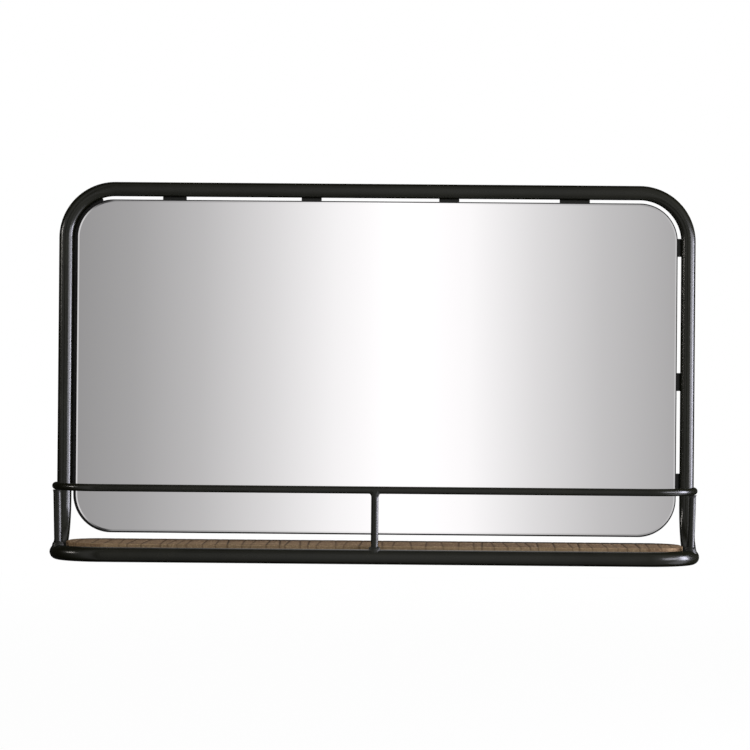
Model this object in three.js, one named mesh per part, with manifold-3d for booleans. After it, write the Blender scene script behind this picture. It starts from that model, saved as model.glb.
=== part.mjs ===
// Wall mirror with a wooden shelf and a guard rail, on a frame of bent round steel tube.
// Millimetres, +Z up, +X to the viewer's right, the wall at y = 0 and the front towards -Y.
// The origin is the hanging point: on the wall, midway between the two keyhole hangers.

import * as THREE from 'three';
import { mergeVertices } from 'three/addons/utils/BufferGeometryUtils.js';
import Module from 'manifold-3d';

const wasm = await Module();
wasm.setup();

// ---------------------------------------------------------------- driving dimensions

// Steel tube frame
const frameWidth = 865.2;       // between the centre lines of the two uprights
const frameHeight = 500;        // from the shelf loop's centre line to the top tube's
const tubeRadius = 10;
const tubeWall = 1.5;
const bendRadius = 68;          // centre line of every bend in the tube
const shelfSideRun = 4;         // straight tube between the forward bend and the front corner
const seamAboveBend = 16;       // butt joint in each upright, above the forward bend
const sleeveLength = 30;
const sleeveWall = 1.5;
const sleeveClearance = 0.3;

// Guard rail of solid rod
const rodRadius = 5;
const railHeight = 89.6;        // centre of the rail above the centre of the shelf loop
const railOutset = 2.2;         // the rail's sides stand outside the shelf loop's by this
const railArm = 4;              // straight ends of the rail behind its corners
const legSetback = 44.5;        // legs behind the rail's front run
const legBeadRadius = 8.2;
const postPlace = 1.2;          // the post stands a little right of the middle
const postFootBeadRadius = 9.2;
const postTopBeadRadius = 7.8;
const beadHeight = 5;
const beadOverRail = 3.5;       // the post's top bead climbs this far up the side of the rail

// Mirror
const glassGapSide = 6.5;       // from the tube to the glass
const glassGapTop = 6;
const glassThickness = 4;
const glassArris = 2;           // width of the ground edge, seen from the front
const glassArrisDepth = 0.45;
const backingRimSide = 3;       // the backing is larger than the glass by this at each side
const backingRimTop = 2.1;      // and by this at the top and the bottom
const glassOnBacking = { x: 1.2, z: 0.3 };      // the glass is bonded off the backing's centre
const backingCorner = 1.5;      // its corners' radius exceeds the glass corners' by this
const backingThickness = 9;
const adhesiveThickness = 0.6;
const adhesiveWidth = 20;
const adhesiveInset = 35;       // strip ends inside the glass's top and bottom edges
const adhesivePitch = 200;

// Plates behind the mirror
const plateThickness = 3;
const plateCorner = 3;
const plateOnTube = 4;          // reach past the tube's centre line
const plateOnBacking = 26;      // reach over the backing from its edge
const topTabWidth = 28;
const sideTabWidth = 25;
const topTabPlaces = [-92, 100];
const upperTabDrop = 75;        // the highest side tab, below the top tube's centre line
const sideTabHeights = [98, 238, frameHeight - upperTabDrop];
const hangerPlates = { left: { x: -283, width: 33 }, right: { x: 275, width: 42 } };
const hangerDrop = 46;          // reach of a hanger over the backing
const hangerSpacing = 558;      // between the two keyholes
const stripBottom = 84;         // lower end of the left strip, above the shelf loop
const stripTopReach = 44.5;     // upper end of the left strip, from the upright's centre line

// Keyhole in each hanger, and the pocket behind it
const slotRadius = 2.7;
const slotLength = 13;
const keyholeRadius = 5;
const slotBelowBackingTop = 21.7;
const pocketMargin = 2.5;
const pocketDepth = 5;

// Shelf board
const boardThickness = 18;
const boardProud = 4;           // top face above the crown of the tube
const boardGap = 2.5;           // all round, inside the tube
const boardBackCorner = 45;
const boardBackInset = 0;       // back edge, forward of the uprights' centre plane
const mirrorLift = 10.4;        // glass edge above the board

// Steel under the board
const barWidth = 25;
const barDepthPlace = 60;       // middle of the bar, forward of the uprights
const shelfTabWidth = 26;
const shelfTabReach = 34;       // from the front tube's centre line back under the board
const boardScrewPitch = 300;

// Wall bumpers
const bumperThickness = 7.8;
const bumperRadius = 10;
const bumperWallRadius = 8.5;
const bumperInset = 46;         // from the backing's side edges
const bumperTopInset = 62;
const bumperBottomInset = 24;

// Screws
const smallScrew = { shank: 1.75, head: 3.7, crown: 2.3, headHeight: 2.2, bite: 6.5 };
const boardScrew = { shank: 2.1, head: 4, crown: 2.5, headHeight: 2.2, bite: 12 };
const screwClearance = 0.3;
const hangerScrewSpread = 11;
const hangerScrewInset = 9;     // below the backing's top edge
const screwInset = 12;          // from a plate's free end

// Fits
const seat = 0.2;               // gap between a piece and what carries it
const weldGap = 0.3;            // gap between a coped end and the round it is welded to

// Faceting
const tubeSides = 20;
const boreSides = 8;
const rodSides = 16;
const holeSides = 12;
const bendSteps = 8;
const cornerSteps = 10;         // on the large corners of the glass, backing and board
const smallCornerSteps = 3;     // on the corners of the plates

// ---------------------------------------------------------------- derived places

const halfWidth = frameWidth / 2;
const seamHeight = bendRadius + seamAboveBend;
const shelfDepth = 2 * bendRadius + shelfSideRun;
const tubeBack = -(bumperThickness + seat);
const uprightY = tubeBack - tubeRadius;
const frontY = uprightY - shelfDepth;
const boreRadius = tubeRadius - tubeWall;

const legDepth = shelfDepth - legSetback;
const cornerStart = bendRadius + shelfSideRun;
const intoCorner = Math.max(0, legDepth - cornerStart);
const footX = halfWidth - bendRadius + Math.sqrt(bendRadius ** 2 - intoCorner ** 2);
const legY = uprightY - legDepth;

const boardTop = tubeRadius + boardProud;
const boardBottom = boardTop - boardThickness;
const boardHalfWidth = halfWidth - tubeRadius - boardGap;
const boardFrontY = frontY + tubeRadius + boardGap;
const boardFrontCorner = bendRadius - tubeRadius - boardGap;

const glassRight = halfWidth - tubeRadius - glassGapSide;
const glassLeft = -glassRight;
const glassBottom = boardTop + mirrorLift;
const glassTop = frameHeight - tubeRadius - glassGapTop;
const glassCorner = bendRadius - tubeRadius - glassGapSide;
const backingLeft = glassLeft - backingRimSide - glassOnBacking.x;
const backingRight = glassRight + backingRimSide - glassOnBacking.x;
const backingBottom = glassBottom - backingRimTop - glassOnBacking.z;
const backingTop = glassTop + backingRimTop - glassOnBacking.z;
const backingBack = tubeBack;
const backingFront = backingBack - backingThickness;
const glassBack = backingFront - adhesiveThickness - seat;
const plateFront = tubeBack + seat;
const plateBack = plateFront + plateThickness;

const slotTop = backingTop - slotBelowBackingTop;
const keyholeZ = slotTop - slotLength;
const hangHeight = slotTop;

// ---------------------------------------------------------------- materials

const finishes = {
  steel: { color: '#20211e', roughness: 0.42, metalness: 0.75 },
  mirror: { color: '#dfe1e2', roughness: 0.03, metalness: 1 },
  backing: { color: '#12110f', roughness: 0.8, metalness: 0 },
  wood: { color: '#6e5945', roughness: 0.75, metalness: 0 },
  zinc: { color: '#8f8f8a', roughness: 0.4, metalness: 1 },
  rubber: { color: '#1c1c1c', roughness: 0.9, metalness: 0 },
  adhesive: { color: '#d6d5cd', roughness: 0.7, metalness: 0 },
};

const part = new THREE.Group();
part.position.z = -hangHeight;

function add(name, finish, geometry) {
  const mesh = new THREE.Mesh(geometry, new THREE.MeshStandardMaterial(finishes[finish]));
  mesh.name = name;
  part.add(mesh);
}

// ---------------------------------------------------------------- solids and cuts

function toSolid(geometry) {
  const bare = geometry.clone();
  bare.deleteAttribute('normal');
  bare.deleteAttribute('uv');
  const merged = mergeVertices(bare, 1e-4);
  return new wasm.Manifold(new wasm.Mesh({
    numProp: 3,
    vertProperties: new Float32Array(merged.attributes.position.array),
    triVerts: new Uint32Array(merged.index.array),
  }));
}

function toGeometry(solid) {
  const mesh = solid.getMesh();
  const geometry = new THREE.BufferGeometry();
  geometry.setAttribute('position', new THREE.BufferAttribute(mesh.vertProperties, 3));
  geometry.setIndex(new THREE.BufferAttribute(mesh.triVerts, 1));
  geometry.computeVertexNormals();
  return geometry;
}

function cut(geometry, cutters) {
  let solid = toSolid(geometry);
  for (const cutter of cutters) {
    solid = solid.subtract(toSolid(cutter));
  }
  return toGeometry(solid);
}

// ---------------------------------------------------------------- shapes

const X = new THREE.Vector3(1, 0, 0);
const Y = new THREE.Vector3(0, 1, 0);
const Z = new THREE.Vector3(0, 0, 1);
const left = X.clone().negate();
const forward = Y.clone().negate();
const down = Z.clone().negate();

// The centre line of a bent tube: straights and quarter bends, one after the other.
class BentPath extends THREE.Curve {
  constructor(start, heading) {
    super();
    this.stations = [{ point: start.clone(), tangent: heading.clone() }];
  }

  last() {
    return this.stations[this.stations.length - 1];
  }

  straight(length) {
    const { point, tangent } = this.last();
    this.stations.push({ point: point.clone().addScaledVector(tangent, length), tangent });
    return this;
  }

  bend(radius, toward) {
    const { point, tangent } = this.last();
    const centre = point.clone().addScaledVector(toward, radius);
    for (let step = 1; step <= bendSteps; step += 1) {
      const angle = (step / bendSteps) * Math.PI / 2;
      const onArc = centre.clone()
        .addScaledVector(toward, -radius * Math.cos(angle))
        .addScaledVector(tangent, radius * Math.sin(angle));
      const along = tangent.clone()
        .multiplyScalar(Math.cos(angle))
        .addScaledVector(toward, Math.sin(angle));
      this.stations.push({ point: onArc, tangent: along });
    }
    return this;
  }

  station(t) {
    return this.stations[Math.round(t * (this.stations.length - 1))];
  }

  getUtoTmapping(u) {
    return u;
  }

  getPoint(t, target = new THREE.Vector3()) {
    return target.copy(this.station(t).point);
  }

  getTangent(t, target = new THREE.Vector3()) {
    return target.copy(this.station(t).tangent);
  }
}

function polygon(PathClass, radius, sides) {
  const points = [];
  for (let side = 0; side < sides; side += 1) {
    const angle = (side / sides) * 2 * Math.PI;
    points.push(new THREE.Vector2(radius * Math.cos(angle), radius * Math.sin(angle)));
  }
  return new PathClass(points);
}

function sweep(path, section) {
  const steps = path.stations.length - 1;
  return new THREE.ExtrudeGeometry(section, { steps, extrudePath: path });
}

function tubeSection() {
  const section = polygon(THREE.Shape, tubeRadius, tubeSides);
  section.holes.push(polygon(THREE.Path, boreRadius, boreSides));
  return section;
}

// A round bar between two heights.
function uprightRod(radius, x, y, bottom, top) {
  const geometry = new THREE.CylinderGeometry(radius, radius, top - bottom, holeSides);
  geometry.rotateX(Math.PI / 2);
  geometry.translate(x, y, (bottom + top) / 2);
  return geometry;
}

// A round bar between two depths.
function crossRod(radius, x, z, front, back) {
  const geometry = new THREE.CylinderGeometry(radius, radius, back - front, holeSides);
  geometry.translate(x, (front + back) / 2, z);
  return geometry;
}

function rectangle(x0, y0, x1, y1) {
  return new THREE.Shape([
    new THREE.Vector2(x0, y0),
    new THREE.Vector2(x1, y0),
    new THREE.Vector2(x1, y1),
    new THREE.Vector2(x0, y1),
  ]);
}

function roundedRectangle(x0, y0, x1, y1, radius) {
  const quarter = Math.PI / 2;
  const shape = new THREE.Shape();
  shape.absarc(x1 - radius, y0 + radius, radius, -quarter, 0, false);
  shape.absarc(x1 - radius, y1 - radius, radius, 0, quarter, false);
  shape.absarc(x0 + radius, y1 - radius, radius, quarter, 2 * quarter, false);
  shape.absarc(x0 + radius, y0 + radius, radius, 2 * quarter, 3 * quarter, false);
  return shape;
}

// A sheet parallel to the wall: the outline is drawn in X and Z, and front < back.
function wallSheet(outline, front, back, curveSegments = cornerSteps) {
  const options = { depth: back - front, bevelEnabled: false, curveSegments };
  const geometry = new THREE.ExtrudeGeometry(outline, options);
  geometry.rotateX(Math.PI / 2);
  geometry.translate(0, back, 0);
  return geometry;
}

// A level sheet: the outline is drawn in X and Y.
function levelSheet(outline, bottom, top) {
  const options = { depth: top - bottom, bevelEnabled: false, curveSegments: cornerSteps };
  const geometry = new THREE.ExtrudeGeometry(outline, options);
  geometry.translate(0, 0, bottom);
  return geometry;
}

// A screw along +Y with its head at +Y and the underside of the head at y = 0.
function screwGeometry(screw, through) {
  const tip = through + screw.bite;
  const profile = [
    new THREE.Vector2(0, -tip),
    new THREE.Vector2(screw.shank, -tip + 2 * screw.shank),
    new THREE.Vector2(screw.shank, 0),
    new THREE.Vector2(screw.head, 0),
    new THREE.Vector2(screw.head, screw.headHeight * 0.4),
    new THREE.Vector2(screw.crown, screw.headHeight),
    new THREE.Vector2(0, screw.headHeight),
  ];
  return new THREE.LatheGeometry(profile, holeSides);
}

function wallScrew(x, z) {
  const geometry = screwGeometry(smallScrew, plateThickness);
  geometry.translate(x, plateBack + seat, z);
  return geometry;
}

function wallScrewHole(x, z) {
  const deepest = backingBack - smallScrew.bite - screwClearance;
  return crossRod(smallScrew.shank + screwClearance, x, z, deepest, plateBack + 1);
}

// ---------------------------------------------------------------- tube frame

function upperFramePath() {
  const start = new THREE.Vector3(-halfWidth, uprightY, seamHeight + weldGap / 2);
  const rise = frameHeight - bendRadius - start.z;
  return new BentPath(start, Z)
    .straight(rise)
    .bend(bendRadius, X)
    .straight(frameWidth - 2 * bendRadius)
    .bend(bendRadius, down)
    .straight(rise);
}

function shelfLoopPath() {
  const start = new THREE.Vector3(-halfWidth, uprightY, seamHeight - weldGap / 2);
  const drop = start.z - bendRadius;
  return new BentPath(start, down)
    .straight(drop)
    .bend(bendRadius, forward)
    .straight(shelfSideRun)
    .bend(bendRadius, X)
    .straight(frameWidth - 2 * bendRadius)
    .bend(bendRadius, Y)
    .straight(shelfSideRun)
    .bend(bendRadius, Z)
    .straight(drop);
}

const loopCutter = sweep(shelfLoopPath(), polygon(THREE.Shape, tubeRadius + weldGap, tubeSides));

function buildTubeFrame() {
  add('upper_frame_tube', 'steel', sweep(upperFramePath(), tubeSection()));
  add('shelf_loop_tube', 'steel', sweep(shelfLoopPath(), tubeSection()));

  const outer = boreRadius * Math.cos(Math.PI / boreSides) - sleeveClearance;
  for (const [side, x] of [['left', -halfWidth], ['right', halfWidth]]) {
    const section = polygon(THREE.Shape, outer, boreSides);
    section.holes.push(polygon(THREE.Path, outer - sleeveWall, boreSides));
    const start = new THREE.Vector3(x, uprightY, seamHeight - sleeveLength / 2);
    add(`joint_sleeve_${side}`, 'steel', sweep(new BentPath(start, Z).straight(sleeveLength), section));
  }
}

// ---------------------------------------------------------------- guard rail

function railPath() {
  const railSide = halfWidth + railOutset;
  const start = new THREE.Vector3(-railSide, frontY + bendRadius + railArm, railHeight);
  return new BentPath(start, forward)
    .straight(railArm)
    .bend(bendRadius, X)
    .straight(2 * (railSide - bendRadius))
    .bend(bendRadius, Y)
    .straight(railArm);
}

// A round stay from the shelf loop up to the rail, with a bead of weld around each end.
function railStay(footBead, topBead) {
  const foot = tubeRadius;
  const top = railHeight - rodRadius;
  const beadTop = top + beadOverRail;
  const profile = [
    new THREE.Vector2(0, 0),
    new THREE.Vector2(footBead, 0),
    new THREE.Vector2(footBead, foot - beadHeight * 0.2),
    new THREE.Vector2((footBead + rodRadius) / 2, foot + beadHeight * 0.4),
    new THREE.Vector2(rodRadius, foot + beadHeight),
    new THREE.Vector2(rodRadius, top - beadHeight),
    new THREE.Vector2((topBead + rodRadius) / 2, top - beadHeight * 0.4),
    new THREE.Vector2(topBead, top + beadHeight * 0.2),
    new THREE.Vector2(topBead, beadTop),
    new THREE.Vector2(0, beadTop),
  ];
  const geometry = new THREE.LatheGeometry(profile, rodSides);
  geometry.rotateX(Math.PI / 2);
  return geometry;
}

function buildGuardRail() {
  const railSection = polygon(THREE.Shape, rodRadius, rodSides);
  add('guard_rail', 'steel', sweep(railPath(), railSection));

  const railCutter = sweep(railPath(), polygon(THREE.Shape, rodRadius + weldGap, rodSides));
  for (const [side, x, lean] of [['left', -footX, -railOutset], ['right', footX, railOutset]]) {
    const shear = new THREE.Matrix4().makeShear(0, 0, 0, 0, lean / railHeight, 0);
    const leg = railStay(legBeadRadius, rodRadius).applyMatrix4(shear).translate(x, legY, 0);
    add(`rail_leg_${side}`, 'steel', cut(leg, [loopCutter, railCutter]));
  }
  const post = railStay(postFootBeadRadius, postTopBeadRadius).translate(postPlace, frontY, 0);
  add('rail_post_centre', 'steel', cut(post, [loopCutter, railCutter]));
}

// ---------------------------------------------------------------- mirror

function hangerPlaces() {
  return [['left', -hangerSpacing / 2], ['right', hangerSpacing / 2]];
}

function stadium(x, low, high, radius) {
  return roundedRectangle(x - radius, low - radius, x + radius, high + radius, radius);
}

function buildMirror(screwPlaces) {
  const outline = roundedRectangle(
    glassLeft + glassArris, glassBottom + glassArris,
    glassRight - glassArris, glassTop - glassArris, glassCorner - glassArris,
  );
  const glass = new THREE.ExtrudeGeometry(outline, {
    depth: glassThickness - 2 * glassArrisDepth,
    bevelThickness: glassArrisDepth,
    bevelSize: glassArris,
    bevelSegments: 1,
    curveSegments: cornerSteps,
  });
  glass.rotateX(Math.PI / 2);
  glass.translate(0, glassBack - glassArrisDepth, 0);
  add('mirror_glass', 'mirror', glass);

  const stripFront = glassBack + seat / 2;
  for (let index = 0; index < 4; index += 1) {
    const x = (index - 1.5) * adhesivePitch;
    const strip = rectangle(
      x - adhesiveWidth / 2, glassBottom + adhesiveInset,
      x + adhesiveWidth / 2, glassTop - adhesiveInset,
    );
    add(`adhesive_strip_${index + 1}`, 'adhesive',
      wallSheet(strip, stripFront, stripFront + adhesiveThickness));
  }

  const board = roundedRectangle(
    backingLeft, backingBottom, backingRight, backingTop, glassCorner + backingCorner,
  );
  const pockets = hangerPlaces().map(([, x]) => wallSheet(
    stadium(x, keyholeZ, slotTop, keyholeRadius + pocketMargin),
    backingBack - pocketDepth, backingBack + 1, smallCornerSteps,
  ));
  const holes = screwPlaces.map(([x, z]) => wallScrewHole(x, z));
  add('backing_board', 'backing',
    cut(wallSheet(board, backingFront, backingBack), [...pockets, ...holes]));
}

// ---------------------------------------------------------------- plates behind the mirror

// The left strip follows the tube up the side and around the top corner.
function stripOutline() {
  const outer = halfWidth + plateOnTube;
  const inner = -backingLeft - plateOnBacking;
  const centreX = -halfWidth + bendRadius;
  const centreZ = frameHeight - bendRadius;
  const outerRadius = bendRadius + plateOnTube;
  const innerRadius = centreX + inner;
  const turn = Math.acos((bendRadius - stripTopReach) / outerRadius);
  const shape = new THREE.Shape();
  shape.moveTo(-inner, stripBottom);
  shape.lineTo(-inner, centreZ);
  shape.absarc(centreX, centreZ, innerRadius, Math.PI, Math.PI - turn, true);
  shape.absarc(centreX, centreZ, outerRadius, Math.PI - turn, Math.PI, false);
  shape.lineTo(-outer, stripBottom);
  return shape;
}

// Each plate's outline, and where its screws go through it.
function platePlan() {
  const tabTop = frameHeight + plateOnTube;
  const tabBottom = backingTop - plateOnBacking;
  const plan = [];
  for (const [side, x] of hangerPlaces()) {
    const low = backingTop - hangerDrop;
    const plate = hangerPlates[side];
    const half = plate.width / 2;
    plan.push({
      name: `hanger_plate_${side}`,
      outline: roundedRectangle(plate.x - half, low, plate.x + half, tabTop, plateCorner),
      screws: [
        [plate.x - hangerScrewSpread, backingTop - hangerScrewInset],
        [plate.x + hangerScrewSpread, backingTop - hangerScrewInset],
      ],
      keyhole: x,
    });
  }
  for (const [index, x] of topTabPlaces.entries()) {
    const half = topTabWidth / 2;
    plan.push({
      name: `mirror_tab_top_${index === 0 ? 'left' : 'right'}`,
      outline: roundedRectangle(x - half, tabBottom, x + half, tabTop, plateCorner),
      screws: [[x, tabBottom + screwInset]],
    });
  }
  const labels = ['lower', 'middle', 'upper'];
  const tabEdge = backingRight - plateOnBacking;
  for (const [index, z] of sideTabHeights.entries()) {
    const half = sideTabWidth / 2;
    plan.push({
      name: `mirror_tab_right_${labels[index]}`,
      outline: roundedRectangle(tabEdge, z - half, halfWidth + plateOnTube, z + half, plateCorner),
      screws: [[tabEdge + screwInset, z]],
    });
  }
  const stripEdge = backingLeft + plateOnBacking;
  plan.push({
    name: 'mirror_strip_left',
    outline: stripOutline(),
    screws: sideTabHeights.map((z) => [stripEdge - screwInset, z]),
  });
  return plan;
}

function keyholeCutters(x) {
  const front = plateFront - 1;
  const back = plateBack + 1;
  return [
    crossRod(keyholeRadius, x, keyholeZ, front, back),
    wallSheet(stadium(x, keyholeZ, slotTop, slotRadius), front, back, smallCornerSteps),
  ];
}

function buildPlates(plan) {
  for (const { name, outline, screws, keyhole } of plan) {
    const cutters = screws.map(([x, z]) => wallScrewHole(x, z));
    if (keyhole !== undefined) {
      cutters.push(...keyholeCutters(keyhole));
    }
    const steps = name === 'mirror_strip_left' ? cornerSteps : smallCornerSteps;
    add(name, 'steel', cut(wallSheet(outline, plateFront, plateBack, steps), cutters));
    screws.forEach(([x, z], index) => {
      add(`${name}_screw_${index + 1}`, 'zinc', wallScrew(x, z));
    });
  }
}

function buildBumpers() {
  const columns = [['left', backingLeft + bumperInset], ['right', backingRight - bumperInset]];
  const rows = [['lower', backingBottom + bumperBottomInset], ['upper', backingTop - bumperTopInset]];
  for (const [side, x] of columns) {
    for (const [level, z] of rows) {
      const bumper = new THREE.CylinderGeometry(
        bumperWallRadius, bumperRadius, bumperThickness, tubeSides,
      );
      bumper.translate(x, -bumperThickness / 2, z);
      add(`wall_bumper_${side}_${level}`, 'rubber', bumper);
    }
  }
}

// ---------------------------------------------------------------- shelf

function boardOutline() {
  const back = uprightY - boardBackInset;
  const quarter = Math.PI / 2;
  const shape = new THREE.Shape();
  const backX = boardHalfWidth - boardBackCorner;
  const frontX = boardHalfWidth - boardFrontCorner;
  shape.absarc(frontX, boardFrontY + boardFrontCorner, boardFrontCorner, -quarter, 0, false);
  shape.absarc(backX, back - boardBackCorner, boardBackCorner, 0, quarter, false);
  shape.absarc(-backX, back - boardBackCorner, boardBackCorner, quarter, 2 * quarter, false);
  shape.absarc(-frontX, boardFrontY + boardFrontCorner, boardFrontCorner, 2 * quarter, 3 * quarter, false);
  return shape;
}

function buildShelf() {
  const steelTop = boardBottom - seat;
  const steelBottom = steelTop - plateThickness;
  const barY = uprightY - barDepthPlace;
  const tabBackY = frontY + shelfTabReach;
  const tabScrewY = tabBackY - screwInset;
  const columns = [-boardScrewPitch, 0, boardScrewPitch];
  const screwBite = steelTop + seat + boardScrew.bite + screwClearance;
  const hole = (x, y) => uprightRod(
    boardScrew.shank + screwClearance, x, y, steelBottom - 1, screwBite,
  );

  const boardHoles = columns.flatMap((x) => [hole(x, barY), hole(x, tabScrewY)]);
  add('shelf_board', 'wood', cut(levelSheet(boardOutline(), boardBottom, boardTop), boardHoles));

  const bar = levelSheet(
    rectangle(-halfWidth, barY - barWidth / 2, halfWidth, barY + barWidth / 2), steelBottom, steelTop,
  );
  const barHoles = columns.map((x) => hole(x, barY));
  add('shelf_cross_bar', 'steel', cut(bar, [loopCutter, ...barHoles]));

  const labels = ['left', 'centre', 'right'];
  for (const [index, x] of columns.entries()) {
    const half = shelfTabWidth / 2;
    const tab = levelSheet(rectangle(x - half, frontY, x + half, tabBackY), steelBottom, steelTop);
    add(`shelf_tab_${labels[index]}`, 'steel', cut(tab, [loopCutter, hole(x, tabScrewY)]));
    for (const [row, y] of [['bar', barY], ['tab', tabScrewY]]) {
      const screw = screwGeometry(boardScrew, plateThickness + seat);
      screw.rotateX(-Math.PI / 2);
      screw.translate(x, y, steelBottom - seat);
      add(`shelf_${row}_screw_${labels[index]}`, 'zinc', screw);
    }
  }
}

// ---------------------------------------------------------------- the whole part

const plates = platePlan();
buildTubeFrame();
buildGuardRail();
buildMirror(plates.flatMap(({ screws }) => screws));
buildPlates(plates);
buildBumpers();
buildShelf();

export default part;
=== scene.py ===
"""The looks of a wall mirror with a wooden shelf and a guard rail on a frame of bent steel tube.

Lengths are in metres in the frame's own axes: +X to the viewer's right, the wall at y = 0 with
the front towards -Y, and the origin midway between the two keyholes that the mirror hangs on.
"""

import logging
import math
import random
from collections.abc import Iterable, Iterator, Mapping, Sequence
from dataclasses import dataclass, field
from enum import Enum

import bmesh
import bpy
from mathutils import Matrix, Vector, noise


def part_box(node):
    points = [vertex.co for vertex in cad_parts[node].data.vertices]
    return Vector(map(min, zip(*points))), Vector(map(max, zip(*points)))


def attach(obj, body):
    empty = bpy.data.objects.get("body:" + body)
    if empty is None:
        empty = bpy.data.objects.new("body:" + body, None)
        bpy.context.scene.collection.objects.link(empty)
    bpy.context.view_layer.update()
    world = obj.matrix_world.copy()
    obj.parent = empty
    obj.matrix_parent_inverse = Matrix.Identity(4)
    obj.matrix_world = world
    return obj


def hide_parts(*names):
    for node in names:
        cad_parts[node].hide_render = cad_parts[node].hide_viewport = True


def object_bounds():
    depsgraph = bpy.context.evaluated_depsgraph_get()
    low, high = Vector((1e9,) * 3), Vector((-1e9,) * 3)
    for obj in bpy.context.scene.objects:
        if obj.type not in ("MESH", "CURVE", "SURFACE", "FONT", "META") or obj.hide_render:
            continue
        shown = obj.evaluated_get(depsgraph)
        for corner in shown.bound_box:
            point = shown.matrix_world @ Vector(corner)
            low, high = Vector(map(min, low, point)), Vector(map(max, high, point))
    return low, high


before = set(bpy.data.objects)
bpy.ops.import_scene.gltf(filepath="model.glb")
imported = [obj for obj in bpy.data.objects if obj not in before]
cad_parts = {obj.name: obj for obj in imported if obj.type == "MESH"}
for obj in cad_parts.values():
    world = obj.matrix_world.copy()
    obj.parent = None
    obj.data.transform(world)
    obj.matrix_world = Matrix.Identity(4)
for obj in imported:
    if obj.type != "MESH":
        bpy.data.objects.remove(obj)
CAD_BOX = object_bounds()

BODY = "root"
MM = 0.001
QUARTER = math.pi / 2
SHARP_EDGE = math.radians(32)  # turns sharper than this get eased
FLAT_SIDED = math.radians(13)  # gentler turns are shaded as one round
SOFT_SIDED = math.radians(35)  # the same, on small rounds with coarser steps
TRUE_SIDED = math.radians(6)  # the same, where a flat face ends in a gentle slope
HAIR = 1e-6  # anything smaller counts as nothing
OVERSHOOT = 1 * MM  # a cutter reaches this far past the face that it opens
TIP_CLEARANCE = 0.3 * MM  # a screw's hole goes this far past its tip
UNSEEN_IN_GLASS = ("shelf_", "rail_", "guard_")  # the glass shows only the room
WHITE = "#ffffff"

RIGHT = Vector((1, 0, 0))
BACK = Vector((0, 1, 0))
UP = Vector((0, 0, 1))

Colour = tuple[float, float, float, float]
Stops = Sequence[tuple[float, Colour]]
Profile = list[tuple[float, float]]  # radius and height of each corner, along the axis
Corner = bmesh.types.BMVert
Edge = bmesh.types.BMEdge

log = logging.getLogger("wall_mirror")


class Slot(Enum):
    """The finishes that the record names."""

    STEEL = "steel"
    MIRROR = "mirror"
    BACKING = "backing"
    WOOD = "wood"
    ZINC = "zinc"
    RUBBER = "rubber"
    ADHESIVE = "adhesive"


class Side(Enum):
    """Left or right as the viewer sees it, with its sign along X."""

    LEFT = -1
    RIGHT = 1

    @property
    def word(self) -> str:
        """The side's name in a piece's name."""
        return self.name.lower()


def nodes_named(start: str) -> Iterator[str]:
    """The names of the CAD nodes that start with a word, in order."""
    return (name for name in sorted(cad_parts) if name.startswith(start))


def middle_of(node: str) -> Vector:
    """The middle of a CAD node's box."""
    low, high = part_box(node)
    return (low + high) / 2


# ------------------------------------------------------------------ shader nodes

MIX_A, MIX_B, MIX_RESULT = 6, 7, 2  # colour sockets of the Mix node
MOST_OF_A_NOISE = (0.3, 0.7)  # nearly all of a noise's values lie between these


def linear(hex_code: str) -> Colour:
    """Turns an sRGB colour into the linear one that shaders take.

    Args:
        hex_code: the colour as "#rrggbb".

    Returns:
        Red, green and blue in linear light, with an alpha of 1.
    """
    channels = [int(hex_code[i : i + 2], 16) / 255 for i in (1, 3, 5)]
    red, green, blue = (
        c / 12.92 if c <= 0.04045 else ((c + 0.055) / 1.055) ** 2.4 for c in channels
    )
    return red, green, blue, 1.0


def spaced(ends: tuple[float, float], *hex_codes: str) -> Stops:
    """Spaces colours evenly between two places on a ramp.

    Args:
        ends: the places of the first and the last colour.
        hex_codes: the colours as "#rrggbb".

    Returns:
        The places with their linear colours.
    """
    first, last = ends
    gap = (last - first) / (len(hex_codes) - 1)
    return [(first + index * gap, linear(code)) for index, code in enumerate(hex_codes)]


def per_metre(size_mm: float) -> float:
    """The pattern scale at which one feature measures that many millimetres."""
    return 1 / (size_mm * MM)


def add_node(
    tree: bpy.types.NodeTree,
    kind: str,
    settings: Mapping[str, object] | None = None,
    sockets: Mapping[str | int, object] | None = None,
    stops: Stops = (),
) -> bpy.types.Node:
    """Adds one shader node with its settings and its links.

    Args:
        tree: the node tree that gets the node.
        kind: the node's type, such as "ShaderNodeBump".
        settings: values for the node's own properties.
        sockets: for each input, a value or the output that feeds it.
        stops: places and colours on a colour ramp.

    Returns:
        The new node.
    """
    node = tree.nodes.new(kind)
    for name, value in (settings or {}).items():
        setattr(node, name, value)
    for socket, value in (sockets or {}).items():
        if isinstance(value, bpy.types.NodeSocket):
            tree.links.new(value, node.inputs[socket])
        else:
            node.inputs[socket].default_value = value
    for index, (place, colour) in enumerate(stops):
        elements = node.color_ramp.elements
        element = elements[index] if index < len(elements) else elements.new(place)
        element.position = place
        element.color = colour
    return node


# ------------------------------------------------------------------ finishes


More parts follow.
